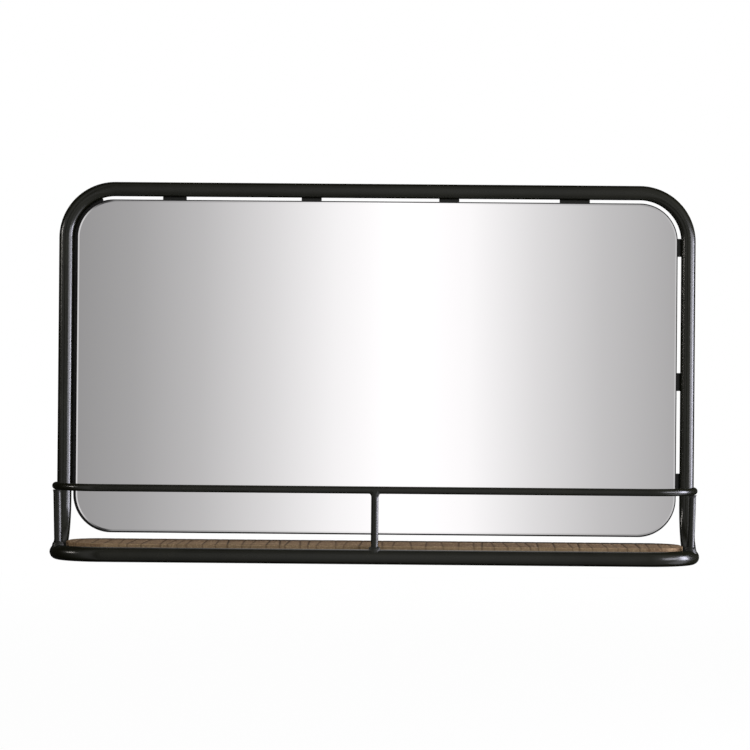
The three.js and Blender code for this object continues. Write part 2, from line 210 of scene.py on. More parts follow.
@dataclass(frozen=True)
class Finish:
    """A surface finish: one material, made once and shared by the pieces that have it."""

    name: str
    slot: Slot

    def material(self) -> bpy.types.Material:
        """Makes the finish's material at the first call.

        Returns:
            The material, the same one at every call.
        """
        made = bpy.data.materials.get(self.name)
        if made is not None:
            return made
        made = bpy.data.materials.new(self.name)
        made.use_nodes = True
        tree = made.node_tree
        tree.nodes.clear()
        shader = add_node(tree, "ShaderNodeBsdfPrincipled")
        add_node(tree, "ShaderNodeOutputMaterial", sockets={"Surface": shader.outputs["BSDF"]})
        self.dress(tree, shader)
        return made

    def dress(self, tree: bpy.types.NodeTree, shader: bpy.types.Node) -> None:
        """Sets the shader's values and patterns. Each finish has its own way."""
        raise NotImplementedError

    @staticmethod
    def grain(
        tree: bpy.types.NodeTree, size_mm: float, detail: float = 2, stretch: Vector | None = None
    ) -> bpy.types.NodeSocket:
        """Draws a pattern of soft spots that have a real size.

        Args:
            tree: the node tree.
            size_mm: size of a spot in millimetres.
            detail: how many finer layers lie on it.
            stretch: how much finer the pattern is along X, Y and Z.

        Returns:
            The pattern, from 0 to 1.
        """
        place = add_node(tree, "ShaderNodeTexCoord").outputs["Object"]
        if stretch is not None:
            place = add_node(
                tree, "ShaderNodeMapping", sockets={"Vector": place, "Scale": stretch}
            ).outputs["Vector"]
        return add_node(
            tree,
            "ShaderNodeTexNoise",
            sockets={"Vector": place, "Scale": per_metre(size_mm), "Detail": detail},
        ).outputs["Fac"]

    @staticmethod
    def lay(
        tree: bpy.types.NodeTree,
        shader: bpy.types.Node,
        tone: tuple[bpy.types.NodeSocket, Stops] | None = None,
        gloss: tuple[bpy.types.NodeSocket, tuple[float, float]] | None = None,
        relief: tuple[bpy.types.NodeSocket, float] | None = None,
    ) -> None:
        """Lays tone, gloss and relief on a surface, each led by a pattern from 0 to 1.

        Args:
            tree: the node tree.
            shader: the surface's shader.
            tone: a pattern, and the colours along it.
            gloss: a pattern, and the roughness where it is low and where it is high.
            relief: a pattern of heights, and its depth in millimetres.
        """
        if tone is not None:
            pattern, stops = tone
            colour = add_node(tree, "ShaderNodeValToRGB", sockets={"Fac": pattern}, stops=stops)
            tree.links.new(colour.outputs["Color"], shader.inputs["Base Color"])
        if gloss is not None:
            pattern, (smooth, rough) = gloss
            low, high = MOST_OF_A_NOISE
            limits = {"From Min": low, "From Max": high, "To Min": smooth, "To Max": rough}
            spread = add_node(tree, "ShaderNodeMapRange", sockets={"Value": pattern, **limits})
            tree.links.new(spread.outputs["Result"], shader.inputs["Roughness"])
        if relief is not None:
            pattern, depth_mm = relief
            heights = {"Height": pattern, "Distance": depth_mm * MM}
            bump = add_node(tree, "ShaderNodeBump", sockets=heights)
            tree.links.new(bump.outputs["Normal"], shader.inputs["Normal"])


@dataclass(frozen=True)
class PowderCoat(Finish):
    """Satin charcoal powder coat, sprayed and baked on steel: smooth, with a faint orange peel."""

    dark: str = "#111108"
    light: str = "#17170e"
    tone_ends: tuple[float, float] = (0.35, 0.65)
    roughness: tuple[float, float] = (0.23, 0.28)
    cloud_mm: float = 45
    peel_mm: float = 2.5
    peel_depth_mm: float = 0.002
    ior: float = 1.46

    def dress(self, tree: bpy.types.NodeTree, shader: bpy.types.Node) -> None:
        """A paint film over steel, so it isn't metallic: it bends light as a resin does.

        Args:
            tree: the material's node tree.
            shader: its shader.
        """
        cloud = self.grain(tree, self.cloud_mm)
        peel = self.grain(tree, self.peel_mm, detail=1)
        self.lay(
            tree,
            shader,
            tone=(cloud, spaced(self.tone_ends, self.dark, self.light)),
            gloss=(cloud, self.roughness),
            relief=(peel, self.peel_depth_mm),
        )
        shader.inputs["IOR"].default_value = self.ior


@dataclass(frozen=True)
class SilveredGlass(Finish):
    """Float glass silvered on its back: a clean mirror, with a trace of haze from wiping."""

    colour: str = "#f9f7f8"
    roughness: tuple[float, float] = (0.0, 0.012)
    haze_mm: float = 60
    wiping: tuple[float, float, float] = (1.6, 1.0, 0.5)  # the haze is drawn out up the glass

    def dress(self, tree: bpy.types.NodeTree, shader: bpy.types.Node) -> None:
        """Silver is a metal, so it is fully metallic and all but smooth.

        Args:
            tree: the material's node tree.
            shader: its shader.
        """
        shader.inputs["Base Color"].default_value = linear(self.colour)
        shader.inputs["Metallic"].default_value = 1.0
        haze = self.grain(tree, self.haze_mm, stretch=Vector(self.wiping))
        self.lay(tree, shader, gloss=(haze, self.roughness))


@dataclass(frozen=True)
class GroundGlass(Finish):
    """The sawn and ground edge of float glass: matt, and green from the iron in it."""

    dark: str = "#33453e"
    light: str = "#48605a"
    streak_mm: float = 3
    roughness: float = 0.35
    ior: float = 1.52

    def dress(self, tree: bpy.types.NodeTree, shader: bpy.types.Node) -> None:
        """The wheel leaves fine marks across a dull green edge.

        Args:
            tree: the material's node tree.
            shader: its shader.
        """
        streak = self.grain(tree, self.streak_mm)
        self.lay(tree, shader, tone=(streak, spaced(MOST_OF_A_NOISE, self.dark, self.light)))
        shader.inputs["Roughness"].default_value = self.roughness
        shader.inputs["IOR"].default_value = self.ior


@dataclass(frozen=True)
class PaintedBoard(Finish):
    """Fibreboard rolled with matt black paint: dry, with the fibres standing a little proud."""

    dark: str = "#100f0e"
    light: str = "#1c1a18"
    roughness: tuple[float, float] = (0.65, 0.85)
    fibre_mm: float = 2
    fibre_depth_mm: float = 0.04
    cloud_mm: float = 60

    def dress(self, tree: bpy.types.NodeTree, shader: bpy.types.Node) -> None:
        """Paint soaks into the fibres, so gloss and height follow them, and its tone is cloudy.

        Args:
            tree: the material's node tree.
            shader: its shader.
        """
        fibre = self.grain(tree, self.fibre_mm, detail=4)
        cloud = self.grain(tree, self.cloud_mm)
        self.lay(
            tree,
            shader,
            tone=(cloud, spaced(MOST_OF_A_NOISE, self.dark, self.light)),
            gloss=(fibre, self.roughness),
            relief=(fibre, self.fibre_depth_mm),
        )


@dataclass(frozen=True)
class SawnHardwood(Finish):
    """Brown hardwood left from the saw and oiled: grain along the board, saw marks across it."""

    deep: str = "#4f3d2b"
    body: str = "#776048"
    pale: str = "#967f62"
    # the torn fibres' pale, also the colour of the painted light on the front edge
    fleck: str = "#b19b79"
    # the saw marks' dark, also the colour of the painted shade along the back edge
    kerf: str = "#24180d"
    tone_ends: tuple[float, float] = (0.28, 0.72)
    roughness: tuple[float, float] = (0.75, 0.9)
    grain_mm: float = 1.6
    grain_share: float = 0.5
    grain_along: float = 0.025  # scale along the board, which draws the grain out 40 times
    figure_mm: float = 9
    figure_share: tuple[float, float] = (0.12, 0.38)  # what it adds where it is low and high
    tooth_mm: float = 2.2
    tooth_across: float = 0.14  # scale across it, which draws the torn fibres out 7 times
    torn_from: tuple[float, float] = (0.5, 0.7)  # where in the tooth tearing starts and is full
    torn_share: float = 0.45
    relief_depth_mm: float = 0.25
    ior: float = 1.5
    specular: float = 0.08  # open fibres have hardly any gloss

    def figured(
        self, tree: bpy.types.NodeTree, grain: bpy.types.NodeSocket
    ) -> bpy.types.NodeSocket:
        """Lays the fine grain over the wood's broad figure.

        Args:
            tree: the material's node tree.
            grain: the pattern of the fine grain.

        Returns:
            Both together, from 0 to 1.
        """
        figure = self.grain(tree, self.figure_mm, 3, Vector((self.grain_along, 1, 1)))
        low, high = MOST_OF_A_NOISE
        least, most = self.figure_share
        limits = {"From Min": low, "From Max": high, "To Min": least, "To Max": most}
        broad = add_node(tree, "ShaderNodeMapRange", sockets={"Value": figure, **limits})
        return add_node(
            tree,
            "ShaderNodeMath",
            {"operation": "MULTIPLY_ADD"},
            {0: grain, 1: self.grain_share, 2: broad.outputs["Result"]},
        ).outputs[0]

    def bare(self, tree: bpy.types.NodeTree, tooth: bpy.types.NodeSocket) -> bpy.types.NodeSocket:
        """Finds where the wood is pale: at torn fibres, and along the front edge, which is painted
        lighter as if lit.

        Args:
            tree: the material's node tree.
            tooth: the pattern of the fibres that the saw tore.

        Returns:
            The pale tone's share, from 0 to 1.
        """
        low, high = self.torn_from
        limits = {"From Min": low, "From Max": high, "To Max": self.torn_share}
        torn = add_node(tree, "ShaderNodeMapRange", sockets={"Value": tooth, **limits})
        # the painted light on the front edge
        painted_light = add_node(tree, "ShaderNodeAttribute", {"attribute_name": ShelfBoard.WEAR_LAYER})
        return add_node(
            tree,
            "ShaderNodeMath",
            {"operation": "ADD", "use_clamp": True},
            {0: torn.outputs["Result"], 1: painted_light.outputs["Fac"]},
        ).outputs[0]

    def dress(self, tree: bpy.types.NodeTree, shader: bpy.types.Node) -> None:
        """Long streaks give the grain, pale flecks the torn fibres, dark lines the saw marks;
        painted shade darkens the top's back edge and painted light brightens its front edge.

        Args:
            tree: the material's node tree.
            shader: its shader.
        """
        grain = self.grain(tree, self.grain_mm, 4, Vector((self.grain_along, 1, 1)))
        figured = self.figured(tree, grain)
        tone = add_node(
            tree,
            "ShaderNodeValToRGB",
            sockets={"Fac": figured},
            stops=spaced(self.tone_ends, self.deep, self.body, self.pale),
        ).outputs["Color"]
        tooth = self.grain(tree, self.tooth_mm, 3, Vector((1, self.tooth_across, 1)))
        flecked_and_lit = add_node(
            tree,
            "ShaderNodeMix",
            {"data_type": "RGBA"},
            {"Factor": self.bare(tree, tooth), MIX_A: tone, MIX_B: linear(self.fleck)},
        ).outputs[MIX_RESULT]
        # darkens the saw marks, and paints shade along the top's back edge
        kerf_and_shade_share = add_node(tree, "ShaderNodeAttribute", {"attribute_name": ShelfBoard.KERF_LAYER})
        colour = add_node(
            tree,
            "ShaderNodeMix",
            {"data_type": "RGBA"},
            {"Factor": kerf_and_shade_share.outputs["Fac"], MIX_A: flecked_and_lit, MIX_B: linear(self.kerf)},
        ).outputs[MIX_RESULT]
        tree.links.new(colour, shader.inputs["Base Color"])
        uneven = add_node(
            tree, "ShaderNodeMath", {"operation": "ADD"}, {0: figured, 1: tooth}
        ).outputs[0]
        self.lay(
            tree,
            shader,
            gloss=(grain, self.roughness),
            relief=(uneven, self.relief_depth_mm),
        )
        shader.inputs["IOR"].default_value = self.ior
        shader.inputs["Specular IOR Level"].default_value = self.specular


@dataclass(frozen=True)
class ZincPlate(Finish):
    """Zinc plate on a cold-headed screw: a grey metal with a cloudy, slightly milky shine."""

    dark: str = "#8d8c86"
    light: str = "#b4b3ac"
    roughness: tuple[float, float] = (0.28, 0.45)
    cloud_mm: float = 1.5

    def dress(self, tree: bpy.types.NodeTree, shader: bpy.types.Node) -> None:
        """A thin metal coat, so it is fully metallic, with a dull patchy gloss.

        Args:
            tree: the material's node tree.
            shader: its shader.
        """
        cloud = self.grain(tree, self.cloud_mm)
        self.lay(
            tree,
            shader,
            tone=(cloud, spaced(MOST_OF_A_NOISE, self.dark, self.light)),
            gloss=(cloud, self.roughness),
        )
        shader.inputs["Metallic"].default_value = 1.0


@dataclass(frozen=True)
class SoftMoulding(Finish):
    """Moulded rubber or foam: one matt colour with a fine pebbled skin."""

    dark: str = "#181818"
    light: str = "#242424"
    pebble_mm: float = 1.2
    pebble_depth_mm: float = 0.03
    roughness: float = 0.85

    def dress(self, tree: bpy.types.NodeTree, shader: bpy.types.Node) -> None:
        """The mould's skin and dust in it vary the tone.

        Args:
            tree: the material's node tree.
            shader: its shader.
        """
        pebble = self.grain(tree, self.pebble_mm)
        self.lay(
            tree,
            shader,
            tone=(pebble, spaced(MOST_OF_A_NOISE, self.dark, self.light)),
            relief=(pebble, self.pebble_depth_mm),
        )
        shader.inputs["Roughness"].default_value = self.roughness


POWDER_COAT = PowderCoat("satin_powder_coat", Slot.STEEL)
WELD_COAT = PowderCoat("coat_over_weld", Slot.STEEL, roughness=(0.5, 0.6))
SILVERED_GLASS = SilveredGlass("silvered_float_glass", Slot.MIRROR)
GROUND_GLASS = GroundGlass("ground_glass_edge", Slot.MIRROR)
PAINTED_BOARD = PaintedBoard("painted_fibreboard", Slot.BACKING)
SAWN_HARDWOOD = SawnHardwood("sawn_hardwood", Slot.WOOD)
ZINC_PLATE = ZincPlate("zinc_plate", Slot.ZINC)
RUBBER = SoftMoulding("moulded_rubber", Slot.RUBBER)
FOAM_TAPE = SoftMoulding("foam_tape", Slot.ADHESIVE, "#c9c8c0", "#dedcd4")


def coat(node: str, finish: Finish) -> None:
    """Gives a CAD node that keeps its own shape its finish.

    Args:
        node: the node's name.
        finish: what it is coated with.
    """
    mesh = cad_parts[node].data
    mesh.materials.clear()
    mesh.materials.append(finish.material())
    log.info("%s: own shape, %s", node, finish.name)


# ------------------------------------------------------------------ workpieces


def corners_among(made: Iterable[object]) -> list[Corner]:
    """The corners among what an operator has made."""
    return [item for item in made if isinstance(item, Corner)]


@dataclass
class Workpiece:
    """One piece under construction, a mesh in metres at its place in the frame."""

    name: str
    mesh: bmesh.types.BMesh = field(default_factory=bmesh.new)
    smooth_turn: float = FLAT_SIDED

    def block(self, low: Vector, high: Vector) -> None:
        """Adds a block.

        Args:
            low: its lowest corner.
            high: its highest corner.
        """
        size = high - low
        place = Matrix.Translation((low + high) / 2) @ Matrix.Diagonal((*size, 1))
        bmesh.ops.create_cube(self.mesh, size=1, matrix=place)

    def rod(self, start: Vector, end: Vector, radius: float, sides: int) -> None:
        """Adds a round bar.

        Args:
            start: the middle of its first end.
            end: the middle of its other end.
            radius: its radius.
            sides: how many sides the round has.
        """
        run = end - start
        turn = run.to_track_quat("Z", "Y").to_matrix().to_4x4()
        bmesh.ops.create_cone(
            self.mesh,
            cap_ends=True,
            segments=sides,
            radius1=radius,
            radius2=radius,
            depth=run.length,
            matrix=Matrix.Translation((start + end) / 2) @ turn,
        )

    def turned(self, profile: Profile, foot: Vector, up: Vector, sides: int) -> None:
        """Adds a turned solid.

        Args:
            profile: radius and height of each corner, from one end of the axis to the other.
            foot: the place of radius 0 and height 0.
            up: the axis.
            sides: how many sides the round has.
        """
        across = up.orthogonal().normalized()
        corners = [
            self.mesh.verts.new(foot + across * radius + up * height) for radius, height in profile
        ]
        chain = [self.mesh.edges.new(pair) for pair in zip(corners, corners[1:])]
        bmesh.ops.spin(
            self.mesh,
            geom=corners + chain,
            cent=foot,
            axis=up,
            angle=2 * math.pi,
            steps=sides,
            use_merge=True,
        )
        bmesh.ops.remove_doubles(self.mesh, verts=self.mesh.verts, dist=HAIR)

    def edges_along(self, axis: Vector) -> list[Edge]:
        """Finds the straight edges that run along an axis.

        Args:
            axis: the axis, as a unit vector.

        Returns:
            The edges.
        """
        chosen = []
        for edge in self.mesh.edges:
            run = edge.verts[1].co - edge.verts[0].co
            if run.length > HAIR and abs(run.normalized().dot(axis)) > 1 - HAIR:
                chosen.append(edge)
        return chosen

    def round_off(self, edges: Sequence[Edge], radius: float, segments: int) -> None:
        """Rounds edges with a true arc.

        Args:
            edges: the edges.
            radius: how far the arc reaches along each face.
            segments: how many faces the arc has.
        """
        bmesh.ops.bevel(
            self.mesh,
            geom=edges,
            offset=radius,
            offset_type="OFFSET",
            affect="EDGES",
            segments=segments,
            profile=0.5,
            material=-1,
        )

    def ease(self, width: float, segments: int = 2) -> None:
        """Takes the sharpness off every sharp edge.

        Args:
            width: width of the eased edge.
            segments: how many faces it has.
        """
        bmesh.ops.recalc_face_normals(self.mesh, faces=self.mesh.faces)
        sharp = [
            edge
            for edge in self.mesh.edges
            if len(edge.link_faces) == 2 and edge.calc_face_angle() > SHARP_EDGE
        ]
        self.round_off(sharp, width, segments)

    def carve(self, cutters: Iterable["Workpiece"]) -> None:
        """Cuts other workpieces out of this one.

        Args:
            cutters: the workpieces to cut out, which are used up.
        """
        body = self.stand_in(self)
        tools = [self.stand_in(cutter) for cutter in cutters]
        for tool in tools:
            cut = body.modifiers.new("cut", "BOOLEAN")
            cut.operation = "DIFFERENCE"
            cut.solver = "EXACT"
            cut.object = tool
        shaped = body.evaluated_get(bpy.context.evaluated_depsgraph_get())
        result = bpy.data.meshes.new_from_object(shaped)
        self.mesh = bmesh.new()
        self.mesh.from_mesh(result)
        bpy.data.meshes.remove(result)
        for helper in (body, *tools):
            mesh = helper.data
            bpy.data.objects.remove(helper)
            bpy.data.meshes.remove(mesh)

    @staticmethod
    def stand_in(piece: "Workpiece") -> bpy.types.Object:
        """Makes a passing object of a workpiece, for an operation that needs one.

        Args:
            piece: the workpiece, whose mesh is used up.

        Returns:
            The object.
        """
        bmesh.ops.recalc_face_normals(piece.mesh, faces=piece.mesh.faces)
        mesh = bpy.data.meshes.new(piece.name)
        piece.mesh.to_mesh(mesh)
        piece.mesh.free()
        stand_in = bpy.data.objects.new(piece.name, mesh)
        bpy.context.scene.collection.objects.link(stand_in)
        return stand_in

    def deliver(
        self, finish: Finish, *nodes: str, trims: Sequence[Finish] = ()
    ) -> bpy.types.Object:
        """Turns the workpiece into a finished piece that rides with the frame.

        Args:
            finish: the finish that its slot is named for.
            nodes: the nodes that it stands for.
            trims: further finishes, by the faces' material index from 1 on.

        Returns:
            The finished object.
        """
        bmesh.ops.recalc_face_normals(self.mesh, faces=self.mesh.faces)
        for edge in self.mesh.edges:
            edge.smooth = len(edge.link_faces) == 2 and edge.calc_face_angle() < self.smooth_turn
        for face in self.mesh.faces:
            face.smooth = True
        mesh = bpy.data.meshes.new(self.name)
        self.mesh.to_mesh(mesh)
        self.mesh.free()
        for layer in (finish, *trims):
            mesh.materials.append(layer.material())
        piece = bpy.data.objects.new(self.name, mesh)
        bpy.context.scene.collection.objects.link(piece)
        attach(piece, BODY)
        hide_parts(*nodes)
        piece.visible_glossy = not nodes[0].startswith(UNSEEN_IN_GLASS)
        log.info("%s: %d faces, for %s", self.name, len(mesh.polygons), ", ".join(nodes))
        return piece


@dataclass
class BentRun:
    """A round section drawn along straights and quarter bends, as a tube bender leads it."""

    piece: Workpiece
    start: Vector
    heading: Vector
    radii: tuple[float, ...]
    sides: int
    bend_steps: int
    ease_steps: int = 3
    rings: list[Edge] = field(init=False, default_factory=list)
    first: list[Edge] = field(init=False, default_factory=list)
    point: Vector = field(init=False)

    def __post_init__(self) -> None:
        """Draws the section's rings at the start of the run."""
        mesh = self.piece.mesh
        turn = self.heading.to_track_quat("Z", "Y").to_matrix().to_4x4()
        place = Matrix.Translation(self.start) @ turn
        for radius in self.radii:
            made = bmesh.ops.create_circle(
                mesh, cap_ends=False, segments=self.sides, radius=radius, matrix=place
            )
            corners = set(made["verts"])
            self.rings += [edge for edge in mesh.edges if set(edge.verts) <= corners]
        self.first = list(self.rings)
        self.point = self.start.copy()

    def follow(self, made: Sequence[object]) -> list[Corner]:
        """Takes the newest rings as the run's end.

        Args:
            made: what the last operator has made.

        Returns:
            The rings' corners.
        """
        corners = corners_among(made)
        inside = set(corners)
        self.rings = [
            item for item in made if isinstance(item, Edge) and set(item.verts) <= inside
        ]
        return corners

    def straight(self, length: float) -> "BentRun":
        """Draws the section straight ahead.

        Args:
            length: how far.

        Returns:
            The run itself.
        """
        made = bmesh.ops.extrude_edge_only(self.piece.mesh, edges=self.rings)
        step = self.heading * length
        bmesh.ops.translate(self.piece.mesh, verts=self.follow(made["geom"]), vec=step)
        self.point += step
        return self

    def bend(self, radius: float, toward: Vector) -> "BentRun":
        """Draws the section round a quarter bend.

        Args:
            radius: the bend's radius at the centre line.
            toward: the heading after the bend.

        Returns:
            The run itself.
        """
        corners = list({corner for edge in self.rings for corner in edge.verts})
        centre = self.point + toward * radius
        made = bmesh.ops.spin(
            self.piece.mesh,
            geom=corners + self.rings,
            cent=centre,
            axis=self.heading.cross(toward),
            angle=QUARTER,
            steps=self.bend_steps,
        )
        self.follow(made["geom_last"])
        self.point = centre + self.heading * radius
        self.heading = toward.copy()
        return self

    def close(self, ease: float) -> None:
        """Closes both ends, and eases their outer edges.

        Args:
            ease: width of the eased edge.
        """
        mesh = self.piece.mesh
        for ring in (self.first, self.rings):
            if len(self.radii) > 1:
                bmesh.ops.bridge_loops(mesh, edges=ring)
            else:
                bmesh.ops.contextual_create(mesh, geom=ring)
        self.piece.ease(ease, segments=self.ease_steps)


# ------------------------------------------------------------------ the frame's plan


@dataclass(frozen=True)
class FramePlan:
    """Where the two tubes' centre lines run, read from their boxes."""

    tube_radius: float = 10 * MM
    tube_wall: float = 1.5 * MM
    bend_radius: float = 68 * MM
    half_width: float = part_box("upper_frame_tube")[1].x - tube_radius
    top_z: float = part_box("upper_frame_tube")[1].z - tube_radius
    seam_above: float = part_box("upper_frame_tube")[0].z
    seam_below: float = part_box("shelf_loop_tube")[1].z
    loop_z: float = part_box("shelf_loop_tube")[0].z + tube_radius
    front_y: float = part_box("shelf_loop_tube")[0].y + tube_radius
    upright_y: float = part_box("upper_frame_tube")[1].y - tube_radius

    @property
    def side_run(self) -> float:
        """Straight tube between the forward bend and the front corner."""
        return self.upright_y - self.front_y - 2 * self.bend_radius

    def crown(self, x: float, y: float) -> float:
        """Finds the height of the shelf loop's upper surface.

        Args:
            x: the place from left to right.
            y: the place from front to back.

        Returns:
            The height there, or that of the centre line beside the tube.
        """
        corner_x = self.half_width - self.bend_radius
        corner_y = self.front_y + self.bend_radius
        if y < corner_y and abs(x) > corner_x:
            offset = math.hypot(abs(x) - corner_x, y - corner_y) - self.bend_radius
        elif y < corner_y:
            offset = y - self.front_y
        else:
            offset = abs(x) - self.half_width
        return self.loop_z + math.sqrt(max(self.tube_radius**2 - offset**2, 0))


PLAN = FramePlan()


# ------------------------------------------------------------------ tube frame


@dataclass
class TubeFrame:
    """The bent tube: an upper half that holds the mirror, and a loop that holds the shelf."""

    plan: FramePlan = PLAN
    sides: int = 48
    bend_steps: int = 24
    end_ease: float = 0.35 * MM

    def run(self, name: str, start: Vector, heading: Vector) -> BentRun:
        """Starts a tube with its outer and inner walls."""
        radii = (self.plan.tube_radius, self.plan.tube_radius - self.plan.tube_wall)
        return BentRun(Workpiece(name), start, heading, radii, self.sides, self.bend_steps)

    def upper(self) -> bpy.types.Object:
        """Builds the upper tube: up the left side, across the top, down the right side.

        Returns:
            The finished tube.
        """
        plan = self.plan
        radius = plan.bend_radius
        rise = plan.top_z - radius - plan.seam_above
        start = Vector((-plan.half_width, plan.upright_y, plan.seam_above))
        run = self.run("upper_tube", start, UP)
        run.straight(rise).bend(radius, RIGHT)
        run.straight(2 * (plan.half_width - radius)).bend(radius, -UP)
        run.straight(rise).close(self.end_ease)
        return run.piece.deliver(POWDER_COAT, "upper_frame_tube")

    def lower(self) -> bpy.types.Object:
        """Builds the loop: down the left side, forward, round the shelf's front and back up.

        Returns:
            The finished tube.
        """
        plan = self.plan
        radius = plan.bend_radius
        drop = plan.seam_below - plan.loop_z - radius
        start = Vector((-plan.half_width, plan.upright_y, plan.seam_below))
        run = self.run("shelf_tube", start, -UP)
        run.straight(drop).bend(radius, -BACK).straight(plan.side_run)
        run.bend(radius, RIGHT).straight(2 * (plan.half_width - radius)).bend(radius, BACK)
        run.straight(plan.side_run).bend(radius, UP)
        run.straight(drop).close(self.end_ease)
        return run.piece.deliver(POWDER_COAT, "shelf_loop_tube")

    def build(self) -> None:
        """Builds both tubes and coats the sleeves inside their joints."""
        self.upper()
        self.lower()
        coat("joint_sleeve_left", POWDER_COAT)
        coat("joint_sleeve_right", POWDER_COAT)


# ------------------------------------------------------------------ guard rail


@dataclass
class Weld:
    """A bead of weld round a rod: how far it stands out, how high it climbs, how lumpy it is."""

    rim: float
    climb: float
    lump: float = 0.18 * MM
    lift: float = 0.5  # how far a lump moves up, as a share of how far it moves out
    ripples: int = 13
    ripple_slant: float = 500  # turn of the ripples in radians per metre of height
    ripple_share: float = 0.45
    drops_per_metre: float = 260
    drop_share: float = 1.6
    drop_shift: float = 7  # keeps the drops of two stays apart
    steps: int = 10

    def bulge(self, place: Vector, axis: Vector, low: float) -> float:
        """Works out how far the weld stands out of its own mean surface.

        Args:
            place: the place on the weld.
            axis: a point on the stay's axis.
            low: height of the weld's lower end.

        Returns:
            The distance outwards, which is negative in a hollow.
        """
        turn = math.atan2(place.y - axis.y, place.x - axis.x)
        ripple = math.sin(self.ripples * turn + self.ripple_slant * (place.z - low))
        drops = noise.noise(place * self.drops_per_metre + axis * self.drop_shift)
        return self.lump * (self.ripple_share * ripple + self.drop_share * drops)


@dataclass
class GuardRail:
    """A rail of round rod on two legs and a centre post, welded on."""

    plan: FramePlan = PLAN
    rod_radius: float = 5 * MM
    leg_lean: float = 2.2 * MM  # how much further out a leg's top stands than its foot
    sides: int = 32
    bend_steps: int = 16
    end_ease: float = 1.2 * MM
    sink: float = 0.15 * MM  # each end of a stay goes this far into the loop or the rail
    saddle_fade: float = 1.6  # height at which the saddle ends, as a multiple of the weld's
    hug_reach: float = 1.08  # half the upper weld's depth, as a multiple of the rail's radius
    foot_weld: Weld = field(default_factory=lambda: Weld(8.2 * MM, 5 * MM))
    post_weld: Weld = field(default_factory=lambda: Weld(8.0 * MM, 4 * MM))
    top_weld: Weld = field(default_factory=lambda: Weld(7.8 * MM, 5 * MM, 0.15 * MM))
    leg_top_weld: Weld = field(default_factory=lambda: Weld(5.9 * MM, 4 * MM, 0.2 * MM))

    def rail(self) -> bpy.types.Object:
        """Builds the rail: forward on the left, along the front and back on the right.

        Returns:
            The finished rail.
        """
        low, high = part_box("guard_rail")
        radius = self.plan.bend_radius
        start = Vector((low.x + self.rod_radius, high.y, (low.z + high.z) / 2))
        side = high.y - low.y - self.rod_radius - radius
        span = high.x - low.x - 2 * (self.rod_radius + radius)
        rod = Workpiece("rail_rod", smooth_turn=SOFT_SIDED)
        run = BentRun(rod, start, -BACK, (self.rod_radius,), self.sides, self.bend_steps)
        run.straight(side).bend(radius, RIGHT).straight(span).bend(radius, BACK).straight(side)
        run.close(self.end_ease)
        return run.piece.deliver(POWDER_COAT, "guard_rail")

    def stay_profile(self, foot: Weld, top: Weld, height: float) -> Profile:
        """Draws a stay with its welds.

        Args:
            foot: the weld on the loop.
            top: the weld under the rail.
            height: from the loop's centre line to the rail's.

        Returns:
            The profile, whose heights start at the loop's centre line.
        """
        base = self.plan.tube_radius - self.sink
        under = height - self.rod_radius + self.sink
        profile = [(0.0, base)]
        for step in range(foot.steps + 1):
            angle = step / foot.steps * QUARTER
            out = (foot.rim - self.rod_radius) * math.cos(angle)
            profile.append((self.rod_radius + out, base + foot.climb * math.sin(angle)))
        for step in range(top.steps + 1):
            angle = step / top.steps * QUARTER
            out = (top.rim - self.rod_radius) * (1 - math.cos(angle))
            lift = top.climb * math.sin(angle)
            profile.append((self.rod_radius + out, under - top.climb + lift))
        profile.append((0.0, under))
        return profile

    def saddle(self, piece: Workpiece, foot_top: float) -> None:
        """Lets a stay's foot follow the round of the tube, fading out above the weld.

        Args:
            piece: the stay.
            foot_top: how high the weld climbs.
        """
        base = self.plan.loop_z + self.plan.tube_radius
        for corner in piece.mesh.verts:
            above = (corner.co.z - base) / foot_top
            fade = min(max(1 - above / self.saddle_fade, 0), 1)
            drop = base - self.plan.crown(corner.co.x, corner.co.y)
            corner.co.z -= drop * fade

    def lumps(self, piece: Workpiece, axis: Vector, weld: Weld, low: float, high: float) -> None:
        """Works the ripples and drops of a weld into the corners between two heights.

        Args:
            piece: the stay.
            axis: a point on the stay's axis.
            weld: how lumpy the weld is.
            low: height of the weld's lower end.
            high: height of its upper end.
        """
        for corner in piece.mesh.verts:
            out = Vector((corner.co.x - axis.x, corner.co.y - axis.y, 0))
            if not low < corner.co.z < high or out.length < self.rod_radius + HAIR:
                continue
            amount = weld.bulge(corner.co, axis, low)
            corner.co += out.normalized() * amount
            corner.co.z += weld.lift * amount
        for face in piece.mesh.faces:
            middle = face.calc_center_median()
            out = Vector((middle.x - axis.x, middle.y - axis.y, 0))
            if low < middle.z < high and out.length > self.rod_radius:
                face.material_index = 1

    def stay(self, name: str, axis: Vector, foot: Weld, top: Weld, hugs: bool) -> Workpiece:
        """Turns a stay from the loop up to the rail and works its two welds.

        Args:
            name: the piece's name.
            axis: where the stay's axis meets the loop's centre line.
            foot: the weld on the loop.
            top: the weld under the rail.
            hugs: whether the upper weld climbs the rail's sides.

        Returns:
            The stay.
        """
        plan = self.plan
        rail_z = middle_of("guard_rail").z
        piece = Workpiece(name, smooth_turn=SOFT_SIDED)
        piece.turned(self.stay_profile(foot, top, rail_z - plan.loop_z), axis, UP, 2 * self.sides)
        if hugs:
            self.hug_rail(piece, axis, rail_z)
        self.saddle(piece, foot.climb)
        crest = plan.loop_z + plan.tube_radius + foot.climb
        self.lumps(piece, axis, foot, plan.loop_z, crest)
        lip = rail_z - self.rod_radius
        self.lumps(piece, axis, top, lip - top.climb, rail_z if hugs else lip)
        return piece

